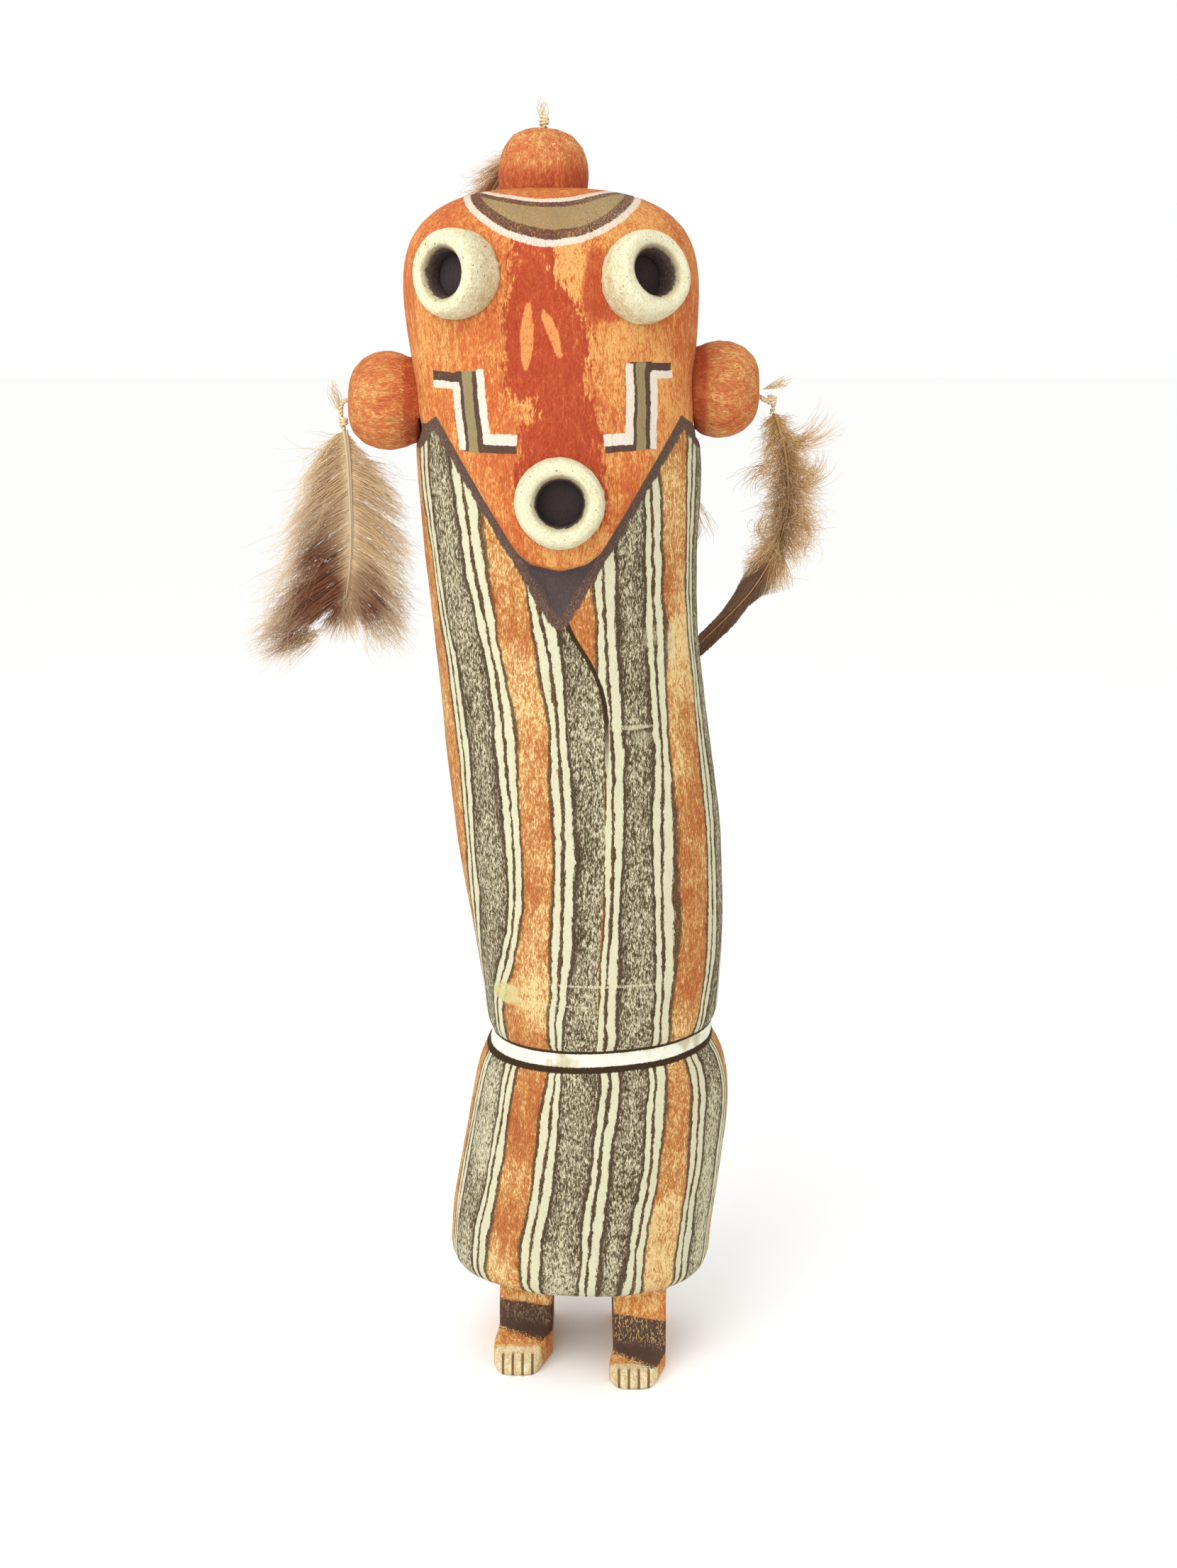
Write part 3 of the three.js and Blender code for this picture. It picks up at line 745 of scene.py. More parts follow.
def paint_cloth(n, spot, place, fibre, above_edge, past_lap):
    """The striped blanket and skirt, and where their white lines run."""
    past = past_lap.step(-0.05, 0.05)
    number = n.lerp(past, n.guide("stripes_left"), n.guide("stripes_right"))
    wavering = (n.noise(place, 0.35, 1.0) - 0.5) * 0.07
    pair = n.use("stripe_pair", number=number + wavering, place=place, streak=fibre.streak)
    on_blanket = above_edge.step(-2.0, -1.0)
    under_lap = past * number.step(0.0, -0.02) * on_blanket
    back_gap = abs(past_lap).step(2.7, 2.4) * spot.back.step(4.0, 6.0)
    orange = pair.odd.by("MAXIMUM", under_lap).by("MAXIMUM", back_gap)
    outlines, whites = (lines * (1.0 - back_gap) for lines in (pair.outline, pair.white))

    hem = spot.up.step(40.0, 23.5)
    cover = fibre.blotch * 0.55 + 0.20 - (hem * 0.30 + spots(spot, CHALKY_SPOTS))
    grey = worn(n, fibre, GREY_TONES, cover + pair.shade * 0.22, 4.2)
    cover = (fibre.blotch * 1.3 - 0.15 - (hem * 0.25 + spots(spot, FADED_SPOTS))
             + spots(spot, DEEP_SPOTS))
    colour = n.mix(orange, grey, worn(n, fibre, WARM_TONES, cover, 2.4))
    line = n.mix(fibre.fine.step(0.48, 0.72), DARK, WORN_DARK)
    colour = n.mix(outlines * (fibre.streak.step(0.68, 0.45) * 0.35 + 0.60), colour, line)
    white = n.mix(fibre.streak.step(0.46, 0.28), CREAM, DULL_CREAM)
    white = n.mix(fibre.fine.step(0.36, 0.26) * 0.5, white, GRIMY_CREAM)
    colour = n.mix(whites, colour, white)

    fore = spot.back.step(0.0, -6.0)
    rubbed = (spots(spot, RUBBED_SPOTS) * fibre.streak.step(0.36, 0.50)).clamped()
    scratched = (spots(spot, SCRATCHES) * fibre.fine.step(0.40, 0.52)).clamped()
    colour = n.mix(rubbed * fore, colour, BARE_OCHRE)
    colour = n.mix(scratched * fore, colour, SCRATCHED)
    lap_edge = abs(past_lap - 0.3).step(0.62, 0.42) * on_blanket * fore
    return n.mix(lap_edge * spot.up.step(146.0, 164.0), colour, DARK), whites


def paint_legs(n, spot, fibre):
    """Bare-looking legs with a dark ankle band, left darkest along the crease as painted shade, a
    red instep, and pale toes with dark dabs that also paint the shade in the grooves between them.
    """
    on_right = spot.right.step(-1.5, -1.4)

    def each(left, right):
        return n.lerp(on_right, left, right)

    jitter = fibre.streak - 0.5
    ahead = each(-8.8, -15.6) - spot.back
    shaky = spot.up + (spot.right - each(-15.2, 12.4)) * 0.17 + jitter * 2.4
    low = each(7.2, 4.6)
    band = shaky.step(low, low + 0.3) * shaky.step(each(14.6, 14.0), each(14.2, 13.6))
    # Lighter flecks stop short of the band's lower edge, which stays dark as painted shade of the
    # crease.
    flecks_above_crease_shade = fibre.streak.step(0.54, 0.60) * shaky.step(low + 1.6, low + 4.0)
    strap = n.mix(flecks_above_crease_shade * each(0.35, 0.75), BROWN, STRAP_FLECK)
    toes = (ahead + jitter * 3.0).step(each(5.9, 5.6), each(6.9, 6.6))
    colour = n.mix(toes, worn(n, fibre, LEG_TONES, fibre.blotch - 0.08),
                   worn(n, fibre, TOE_TONES, 0.22))
    colour = n.mix(band, colour, strap)
    # Dark dabs between the toes: paint and painted shade of the carved grooves.
    along = spot.right - each(-20.64, 7.26)
    dab_and_groove_shade = along.by("PINGPONG", TOE_PITCH / 2).step(0.42, 0.22) * ahead.step(7.2, 8.2)
    return n.mix(dab_and_groove_shade * abs(along - TOE_PITCH * 1.5).step(4.3, 4.1), colour, TOE_GAP_DAB_AND_SHADE)


def root_paint():
    material, n, shader = new_paint("carved_root_paint")
    measure = n.use("own_measure")
    place, spot = measure.place, n.parted(measure.place)
    fibre = n.use("wood_fibre", place=place)
    ragged = fibre.streak - 0.5
    front = spot.back.step(0.0, -4.0)
    above_collar, above_edge = n.guide("above_collar"), n.guide("above_edge")

    mask = paint_mask(n, measure.hand, spot, fibre, front)
    cloth, whites = paint_cloth(n, spot, place, fibre, above_edge,
                                n.guide("past_lap") + ragged * 0.5)
    bind = above_collar + (fibre.brush - 0.5) * 1.6 + ragged * 0.6
    collar = n.mix(fibre.fine.step(0.45, 0.7), BROWN, WORN_BROWN)
    cloth = n.mix(bind.step(-2.35, -2.0), cloth, collar)

    belt = n.mix(fibre.blotch.step(0.45, 0.36), BELT_WHITE, BELT_STAIN)
    seam = above_edge + ragged * 0.5
    dress = n.mix(seam.step(BELT_LOW - 1.6, BELT_LOW - 1.3), cloth, DARK)
    dress = n.mix(seam.step(BELT_LOW - 0.1, BELT_LOW + 0.1), dress, belt)
    dress = n.mix(seam.step(-0.25, -0.05), dress, DARK)
    dress = n.mix(seam.step(0.55, 0.75), dress, cloth)

    # Between the collar and the chin: dark paint and painted shade of the recess.
    neck_paint_and_shade = n.mix(fibre.fine.step(0.5, 0.8), *NECK_PAINT_AND_SHADE_TONES)
    head = n.mix(n.guide("above_chin").step(-0.7, -0.4), neck_paint_and_shade, mask)
    colour = n.mix(above_collar.step(-0.2, 0.0), dress, head)
    colour = n.mix(spot.up.step(21.4, 21.2), colour, paint_legs(n, spot, fibre))

    flat = n.joined(spot.right, spot.up, 0.0)
    for tube in TUBES.values():
        across, _, up = tube["face"]
        yaw, pitch = math.radians(tube["yaw"]), math.radians(tube["pitch"])
        out = n.vector("DISTANCE", flat, (across - math.sin(yaw) * BEHIND_FACE,
                                          up - math.sin(pitch) * BEHIND_FACE, 0.0))
        colour = n.mix(out.step(7.6, 7.0) * front, colour, INSIDE_BORE)
    n.feed(shader.inputs["Base Color"], colour)
    raise_relief(n, shader, fibre.fine * 0.5 + fibre.streak + whites * 0.3, 0.30)
    return material


# ---- knobs, tubes, string and feathers ----------------------------------------------------

def knob_paint(name, turned, dark_low, dark_high, axis):
    """Red wash on a knob, darkest next to the head, with the grain along one axis."""
    material, n, shader = new_paint(name)
    place = n.use("own_measure").place
    fibre = n.use("wood_fibre", place=n.vector(
        "ADD", n.add("Mapping", 0, place, None, turned), (3.0, 0.0, 0.0)))
    near = (getattr(n.parted(place), axis) + (fibre.streak - 0.5) * 2.0).step(dark_low, dark_high)
    n.feed(shader.inputs["Base Color"], worn(n, fibre, KNOB_TONES, near * 0.42 + fibre.blotch))
    raise_relief(n, shader, fibre.fine * 0.5 + fibre.streak, 0.35)
    return material


def tube_paint():
    """White clay worn to tan on the wall, with a lit tone and a painted shade tone in the dish, and
    dark down the bore.
    """
    material, n, shader = new_paint("tube_paint")
    place = n.use("own_measure").place
    fibre = n.use("wood_fibre", place=place, width=1.1, length=1.8)
    depth, out = n.guide("behind_face"), n.guide("from_axis")
    stain = (depth.step(1.5, 6.0) * 0.34 + (fibre.blotch * 1.1 - 0.36)
             - depth.step(0.9, 0.2) * 0.14)
    colour = worn(n, fibre, TUBE_TONES, stain)
    # Painted shade in the dish round the bore: lit on one side, shaded on the other.
    dish_light_and_shade = out.step(6.7, 5.0) * depth.step(0.1, 0.7)
    colour = n.mix(dish_light_and_shade, colour, n.mix(n.guide("shaded_side"), *DISH_LIT_AND_SHADE_TONES))
    ragged = (fibre.streak - 0.5) * 1.4 + (fibre.brush - 0.5) * 1.6
    bore = (depth - out + ragged).step(-4.3, -3.5) * out.step(6.4, 5.6)
    colour = n.mix(bore, colour, n.mix(fibre.streak.step(0.45, 0.7), *BORE_TONES))
    speck = n.noise(place, 1.6, 0.0).step(0.79, 0.82) * 0.8
    n.feed(shader.inputs["Base Color"], n.mix(speck, colour, SPECK))
    raise_relief(n, shader, fibre.fine * 0.4 + fibre.streak, 0.25)
    return material


def feather_paint(name, tan, tip, dark, shadows, blade, pale_root):
    """Barbs, tan with fair ends, dark in the given places and down the blade from a given share."""
    material, n, shader = new_paint(name, 0.62)
    spot = n.parted(n.use("own_measure").place)
    along, tone, down = n.guide("along"), n.guide("tone"), n.guide("down")
    colour = n.mix(along.step(0.40, 1.0), tan, tip)
    shadow = (spots(spot, shadows, 2.4, 0.0) * along.step(1.2, 0.55)).clamped()
    shadow = shadow.by("MAXIMUM", down.step(*blade))
    colour = n.mix((shadow * (tone * 0.3 + 0.75)).clamped(), colour, dark)
    root = along.step(0.16, 0.02) * down.step(0.85, 0.55)
    colour = n.mix(root * pale_root, colour, PALE_DOWN)
    n.feed(shader.inputs["Base Color"],
           n.vector("SCALE", colour, None, None, tone * 0.45 + 0.77))
    return material


def plain_strand_paint(name, light, shade):
    material, n, shader = new_paint(name, 0.85)
    grain = n.noise(n.use("own_measure").place, 2.4, 3.0)
    n.feed(shader.inputs["Base Color"], n.mix(grain.step(0.35, 0.65), shade, light))
    raise_relief(n, shader, grain, 0.12)
    return material


BARB_POINTS = 7


def strands(name, lines, radius, taper, points, wider=None):
    """Many thin strands as one mesh, each with its ends' widths as shares of the radius."""
    curve = bpy.data.curves.new(name, "CURVE")
    curve.dimensions = "3D"
    curve.bevel_depth = radius * MM
    curve.bevel_resolution = 0
    curve.use_fill_caps = False
    for number, line in enumerate(lines):
        spline = curve.splines.new("POLY")
        spline.points.add(points - 1)
        full = wider[number] if wider else 1.0
        for i, spot in enumerate(line):
            share = i / (points - 1)
            spline.points[i].co = (*at(*spot), 1.0)
            spline.points[i].radius = full * (taper[0] + (taper[1] - taper[0]) * share)
    piece = baked(link(name, curve))
    mesh = piece.data
    bpy.data.objects.remove(piece)
    return mesh


def bend(start, heading, length, turn, curl, sway, rng, points=BARB_POINTS):
    """A strand's line: it leaves along heading, turns down and curls towards its end."""
    line, spot = [start.copy()], start.copy()
    angle, lift = heading
    phase, wave = rng.uniform(0, math.tau), rng.uniform(0.7, 1.4)
    for i in range(1, points):
        share = i / (points - 1)
        aim = angle + turn * share + curl * share ** 2 * math.sin(phase + wave * 5.0 * share)
        out = lift + sway * share * math.sin(phase * 1.7 + 4.0 * share)
        run = Vector((math.sin(aim) * math.cos(out), math.sin(out), -math.cos(aim) * math.cos(out)))
        spot = spot + run * length / (points - 1)
        line.append(spot.copy())
    return line


def along_line(line, share):
    """A point on a bent line, at a share of its length, and the way it runs there."""
    reach = share * (len(line) - 1)
    i = min(int(reach), len(line) - 2)
    a, b = Vector(line[i]), Vector(line[i + 1])
    before = Vector(line[max(i - 1, 0)])
    after = Vector(line[min(i + 2, len(line) - 1)])
    t = reach - i
    spot = 0.5 * ((2 * a) + (b - before) * t + (2 * before - 5 * a + 4 * b - after) * t * t
                  + (3 * a - before - 3 * b + after) * t ** 3)
    return spot, (b - a).normalized()


def table_value(rows, share):
    return [float(np.interp(share, [r[0] for r in rows], [r[i] for r in rows]))
            for i in range(1, len(rows[0]))]


FEATHERS = {
    "ear_feather_left": {
        "shaft": [(-55.3, 1.4, 224.4), (-54.8, 1.8, 219), (-54.6, 2.2, 212), (-54.5, 2.6, 204),
                  (-54.8, 3.0, 196), (-55.4, 3.4, 190.5), (-56.2, 3.8, 186)],
        # share down the shaft, then length and angle from straight down of the left and right barbs
        "barbs": [(0.0, 9, -46, 0, 60), (0.08, 14, -50, 3, 64), (0.2, 19.5, -52, 14.5, 62),
                  (0.43, 24.5, -52, 18.5, 57), (0.67, 29.5, -54, 20.5, 52), (0.88, 31, -58, 22, 45),
                  (1.0, 26, -54, 18, 30)],
        "count": 1700, "turn": 24, "sway": 0.10, "lift": 0.13, "calm": 2.0, "strays": 60,
        "locks": (30, 4.5, 26), "spread": 1.9, "tied": 0.55, "pale_quill": 0.5,
    },
    "ear_feather_right": {
        "shaft": [(42.3, 3.2, 228.0), (44.5, 4.6, 221.5), (45.8, 6.0, 213.8), (46.1, 7.4, 207),
                  (44.9, 8.8, 200), (42.3, 10.0, 193.4), (38.0, 11.2, 186.2), (32.7, 12.2, 180.2),
                  (26.7, 12.8, 174.1)],
        "barbs": [(0.0, 5, -40, 5, 50), (0.12, 9.5, -48, 10, 56), (0.3, 10.5, -44, 12, 50),
                  (0.48, 11, -46, 13, 34), (0.55, 9, -54, 11, 8), (0.61, 8.5, -55, 9, -12),
                  (0.68, 8, -56, 8.2, -23), (1.0, 8, -56, 8, -29)],
        "count": 1750, "turn": 14, "sway": 0.4, "lift": 0.34, "calm": 0.6, "strays": 150,
        "locks": (40, 15, 110), "spread": 7, "tied": 0.4, "pale_quill": 0.0,
    },
    "top_feather": {
        "shaft": [(-11.2, 12.8, 287.6), (-17.0, 17.0, 284.0), (-23.0, 22.5, 276.0),
                  (-26.5, 28.5, 263.0), (-26.5, 32.0, 248.0), (-24.0, 33.0, 236.0)],
        "barbs": [(0.0, 6, -76, 3, 40), (0.15, 12, -66, 6, 30), (0.4, 13, -52, 8, 20),
                  (0.7, 10, -38, 8, 24), (1.0, 7, -16, 6, 16)],
        "count": 1100, "turn": 12, "sway": 0.25, "lift": 0.15, "calm": 2.0, "strays": 30,
        "locks": (28, 6, 24), "spread": 3, "tied": 0.5, "pale_quill": 0.0,
    },
}
BARB_RADIUS = 0.062
SHORTEST_BARB = 1.0
STRAY_LONGER, STRAY_SPREAD, STRAY_CURL = 1.18, 14, 30
GATHER = 5.5  # how far a lock's barbs turn together, in degrees
CALMING = 0.12  # share of the shaft over which the down gives way to a vane
TUFT_ROOT = (0.9, 0.4, 0.9)  # how far a tuft's barbs spread where they leave
QUILL_POINTS = 24
VANE_WIDER = 1.9  # barbs lie wider and closer where the feather is a smooth vane
# Dark places of the left feather: [across, up, half width, half height, strength].
DARK_PLACES = [(-62.0, 191.0, 5.0, 8.0, 0.75), (-67.0, 183.0, 6.5, 5.5, 0.9),
               (-75.0, 176.0, 7.0, 3.4, 0.9), (-60.0, 184.0, 4.0, 6.0, 0.7),
               (-51.0, 187.0, 4.0, 6.0, 0.6), (-47.5, 182.0, 4.5, 4.5, 0.45),
               (-63.0, 199.0, 5.0, 6.5, 0.35)]
TAN, FAIR, NO_VANE = (0.66, 0.47, 0.275), (0.78, 0.62, 0.42), (1.5, 2.0)
# Each feather's tan, its tips, its dark, its dark places, the shares of the shaft between which it
# turns dark, and how pale its barbs are beside the shaft.
DOWN_TONES = {
    "ear_feather_left": (TAN, FAIR, (0.225, 0.080, 0.040), DARK_PLACES, NO_VANE, 0.55),
    "ear_feather_right": ((0.62, 0.37, 0.15), (0.76, 0.58, 0.34), (0.165, 0.085, 0.062),
                          [(45.2, 207.0, 2.6, 12.0, 0.5)], (0.53, 0.66), 0.0),
    "top_feather": (TAN, FAIR, (0.22, 0.11, 0.06), [(-24, 246, 6, 9, 0.7)], NO_VANE, 0.2),
}
# Loose tufts, each: where it leaves, angle from straight down, length, turn, how many.
TUFTS = {
    "ear_feather_left": [
        ((-64.0, 3.6, 177.5), -52, 15, -20, 70), ((-66.0, 3.6, 177.0), -66, 15, 6, 60),
        ((-56.6, 3.6, 185.5), -22, 11, -10, 210), ((-55.8, 3.6, 184.5), 10, 9, 0, 150),
        ((-55.0, 1.6, 221.0), -118, 11, 60, 16), ((-47.0, 3.6, 178.0), 40, 10, -10, 14),
    ],
    "ear_feather_right": [
        ((24.0, 10.0, 205.5), 56, 15, -190, 14), ((24.0, 10.0, 202.0), 50, 11, -170, 12),
        ((24.5, 10.0, 208.0), 40, 12, -30, 16), ((46.0, 5.0, 221.0), 92, 14, 50, 60),
        ((49.0, 7.0, 212.0), 96, 11, 90, 50), ((41.5, 6.0, 216.0), -80, 9, 60, 30),
        ((40.5, 8.0, 203.0), -60, 9, 160, 22), ((49.0, 7.0, 204.0), 60, 12, -110, 30),
    ],
    "top_feather": [],
}


def grow_barbs(plan, rng, seed):
    """Barbs down both sides of a shaft, each with its marks [tone, share] and its width.

    Some are tied into locks, which lie, curl and end together, and the others go their own way.
    Past the share "calm" they lie in a close smooth vane.
    """
    grown, locks = [], {}
    number, lean, wave = plan["locks"]

    def habit(longest):
        return (rng.gauss(0, lean), rng.gauss(0, wave), rng.uniform(0.8, longest),
                rng.gauss(0, plan["lift"]))

    for i in range(plan["count"]):
        for side in (-1, 1):
            share = min((i + rng.random()) / plan["count"], 1.0)
            start, _ = along_line(plan["shaft"], share)
            row = table_value(plan["barbs"], share)
            length, aim = row[:2] if side < 0 else row[2:]
            loose = min(max((plan["calm"] - share) / CALMING, 0.0), 1.0)
            stray = rng.random() < plan["strays"] / plan["count"] * loose
            shift = 0.25 * noise.noise(Vector((share * 90, side, seed)))
            where = share * number + 0.35 * side + shift
            lock = math.floor(where)
            if (side, lock) not in locks:
                locks[side, lock] = habit(1.06)
            tied = rng.random() < plan["tied"]
            own = habit(1.0)
            own_aim, own_curl, own_long, own_lift = locks[side, lock] if tied else own
            length *= STRAY_LONGER if stray else 1.0
            if loose > 0.5:
                length *= rng.uniform(0.55, 1.0) ** 0.6 * own_long
            else:
                length *= rng.uniform(0.96, 1)
            if length < SHORTEST_BARB:
                continue
            gather = side * GATHER * (where - lock - 0.5) * tied
            spread = plan["spread"] * loose + 0.5 + (STRAY_SPREAD if stray else 0)
            aim = math.radians(aim + (own_aim + gather) * loose + rng.gauss(0, spread))
            turn = -side * math.radians(plan["turn"]) * rng.uniform(0.7, 1.3) * (0.3 + 0.7 * loose)
            curl = own_curl * rng.uniform(0.6, 1.4)
            curl += STRAY_CURL * rng.gauss(0, 1) if stray else 0
            lift = (0.6 * own_lift + rng.gauss(0, plan["lift"]) * 0.8) * (0.15 + 0.85 * loose)
            line = bend(start, (aim - turn / 2, lift), length, turn, math.radians(curl) * loose,
                        plan["sway"] * loose, rng)
            grown.append((line, (rng.random(), share), 1.0 + (VANE_WIDER - 1.0) * (1.0 - loose)))
    return grown


def grow_tufts(name, rng):
    """Loose tufts with their marks and widths."""
    grown = []
    for start, aim, length, turn, count in TUFTS[name]:
        for _ in range(count):
            leave = Vector(start) + Vector([rng.gauss(0, reach) for reach in TUFT_ROOT])
            heading = (math.radians(aim + rng.gauss(0, 13)), rng.gauss(0, 0.15))
            line = bend(leave, heading, length * rng.uniform(0.5, 1.0),
                        math.radians(turn) * rng.uniform(0.6, 1.3),
                        math.radians(14) * rng.gauss(0, 1), 0.2, rng)
            grown.append((line, (rng.random(), 0.5), 1.0))
    return grown


def grow_feather(name, seed):
    """A feather's barbs as one mesh, with how far along, how bright and how far down each is."""
    rng = random.Random(seed)
    lines, marks, wider = zip(*grow_barbs(FEATHERS[name], rng, seed), *grow_tufts(name, rng))
    mesh = strands(name + "_barbs", lines, BARB_RADIUS, (1.0, 0.3), BARB_POINTS, wider)
    ring = len(mesh.vertices) // len(lines)
    tone, down = np.repeat(np.array(marks), ring, axis=0).T
    along = np.tile(np.repeat(np.linspace(0, 1, BARB_POINTS), ring // BARB_POINTS), len(lines))
    return mesh, {"along": along, "tone": tone, "down": down}


def join_meshes(name, parts):
    """One piece from several meshes, whose material numbers follow their order."""
    shape = bmesh.new()
    for number, mesh in enumerate(parts):
        mesh.polygons.foreach_set("material_index", [number] * len(mesh.polygons))
        shape.from_mesh(mesh)
    whole = bpy.data.meshes.new(name)
    shape.to_mesh(whole)
    shape.free()
    return link(name, whole)


TIES = {
    "ear_tie_left": {
        "cord": [(-53.2, 0.5, 230.6), (-54.6, 0.4, 231.2), (-55.7, 0.5, 230.2), (-56.0, 1.0, 228.0),
                 (-55.6, 1.3, 225.4), (-55.1, 1.5, 223.2)],
        "knot": (-55.6, 1.2, 226.4), "whiskers": [(-56.2, 0.6, 229.0), (-57.6, 0.0, 234.2)],
    },
    "ear_tie_right": {
        "cord": [(37.6, 0.6, 232.6), (39.0, 0.5, 231.6), (40.4, 1.0, 231.0), (41.4, 2.0, 231.8),
                 (41.9, 2.4, 230.2), (41.6, 3.0, 228.0)],
        "knot": (41.4, 2.2, 231.2), "whiskers": [(39.6, 0.4, 233.6), (44.4, 0.2, 235.4)],
    },
    "top_tie": {
        "cord": [(-9.6, 2.4, 290.0), (-9.9, 2.8, 292.4), (-10.0, 4.8, 291.7), (-10.2, 8.0, 291.0),
                 (-10.4, 10.4, 289.8), (-10.8, 12.6, 288.2)],
        "knot": (-9.9, 2.8, 291.6), "whiskers": [(-9.8, 2.6, 291.5), (-10.2, 2.4, 295.4)],
    },
}


STRING_STEPS, KNOT_STEPS, FRAY_STEPS = 60, 24, 8
STRING_RADIUS, KNOT_RADIUS, FRAY_RADIUS = 0.34, 0.36, 0.075
LAY, LAY_TURNS = 0.3, 6  # how far from the middle a string's plies run, and how often round it
WRAP_REACH, WRAP_STEP = 0.85, 0.62  # how far out a knot's wraps run, and how far apart
FRAYED = 26


def round_spot(middle, run, lean, angle, radius):
    """A point at an angle round the way a line runs."""
    aside = run.cross(lean).normalized()
    return middle + (aside * math.cos(angle) + run.cross(aside) * math.sin(angle)) * radius


def twist_cord(line, radius, turns, plies=2):
    """Plies laid round a bent line."""
    shares = [i / (STRING_STEPS - 1) for i in range(STRING_STEPS)]
    return [[round_spot(*along_line(line, share), Vector((0.3, 1, 0.2)),
                        math.tau * (turns * share + ply / plies), radius) for share in shares]
            for ply in range(plies)]


def tie_string(name, seed):
    """A short tie of twisted string: its run, its knot and its frayed end."""
    plan = TIES[name]
    rng = random.Random(seed)
    cord = twist_cord(plan["cord"], LAY, LAY_TURNS)
    centre, wraps = Vector(plan["knot"]), []
    for k in (-1, 0, 1):
        tip = Vector((0.25 * k, 0.1, 1.0)).normalized()
        wraps.append([round_spot(centre + tip * k * WRAP_STEP, tip, Vector((0, 1, 0)),
                                 math.tau * i / (KNOT_STEPS - 1), WRAP_REACH)
                      for i in range(KNOT_STEPS)])
    start, stop = (Vector(p) for p in plan["whiskers"])
    fray = []
    for _ in range(FRAYED):
        end = stop + Vector((rng.gauss(0, 0.75), rng.gauss(0, 0.5), rng.gauss(0, 0.7)))
        root = start + Vector((rng.gauss(0, 0.2), rng.gauss(0, 0.2), 0))
        lean = Vector((rng.gauss(0, 0.5), rng.gauss(0, 0.4), 0))
        shares = [i / (FRAY_STEPS - 1) for i in range(FRAY_STEPS)]
        fray.append([root.lerp(end, share) + lean * math.sin(math.pi * share) for share in shares])
    return join_meshes(name + "_string", [
        strands(name + "_cord", cord, STRING_RADIUS, (1.0, 1.0), STRING_STEPS),
        strands(name + "_knot", wraps, KNOT_RADIUS, (1.0, 1.0), KNOT_STEPS),
        strands(name + "_fray", fray, FRAY_RADIUS, (1.0, 0.5), FRAY_STEPS)])


# ---- settings -----------------------------------------------------------------------------

class CarvingSettings(bpy.types.PropertyGroup):
    skin: FloatProperty(name="Skin", description="Mesh size of the carved root", default=0.00096,
                        min=0.0004, unit="LENGTH", precision=5)
    foot_skin: FloatProperty(name="Foot skin", description="Mesh size of the legs and feet",
                             default=0.0005, min=0.0002, unit="LENGTH", precision=5)
    depth: FloatProperty(name="Knife marks", description="Depth of the broad knife marks",
                         default=0.00022, min=0, unit="LENGTH", precision=5)
    grain: FloatProperty(name="Rasp marks", description="Depth of the fine rasp marks",
                         default=0.00006, min=0, unit="LENGTH", precision=5)


class FeatherSettings(bpy.types.PropertyGroup):
    seed: IntProperty(name="Seed", description="Changes how the barbs lie", default=11, min=0)
    shaft: FloatProperty(name="Shaft", description="Thickness of a feather's shaft at its top",
                         default=0.0008, min=0.0001, unit="LENGTH", precision=5)


class StageSettings(bpy.types.PropertyGroup):
    eye: FloatVectorProperty(name="Camera", description="Place of the camera from the datum",
                             default=tuple(at(0, -480, 255)), subtype="XYZ", unit="LENGTH")
    tilt: FloatProperty(name="Tilt", description="How far the camera looks down",
                        default=math.radians(13.2), subtype="ANGLE")
    lens: FloatProperty(name="Lens", description="Focal length, in millimetres", default=48.2)
    sky: FloatProperty(name="Sky", description="Strength of the plain white surround", default=1.0)
    lamp: FloatProperty(name="Lamp", description="Power of the soft lamp, in watts", default=2.4)
    floor: FloatVectorProperty(name="Floor", description="Colour of the floor",
                               default=(0.97, 0.97, 0.96), subtype="COLOR")


# ---- operators ----------------------------------------------------------------------------

LAMP_PLACE, LAMP_AIM, LAMP_SIZE = (-260, -420, 520), (-5, 0, 150), 0.5
FLOOR_HALF = 6.0
# The root's skin is made in two parts, whose ends hide inside each other below the hem.
BODY_FOOT, FEET_TOP, JOIN = 18 * MM, 21.5 * MM, 19.5 * MM
KNOB_SKIN, TUBE_SKIN = 0.0005, 0.00036
EASING, TUBE_EASING, BROAD_EASING = 5, 6, 34  # rounds of smoothing


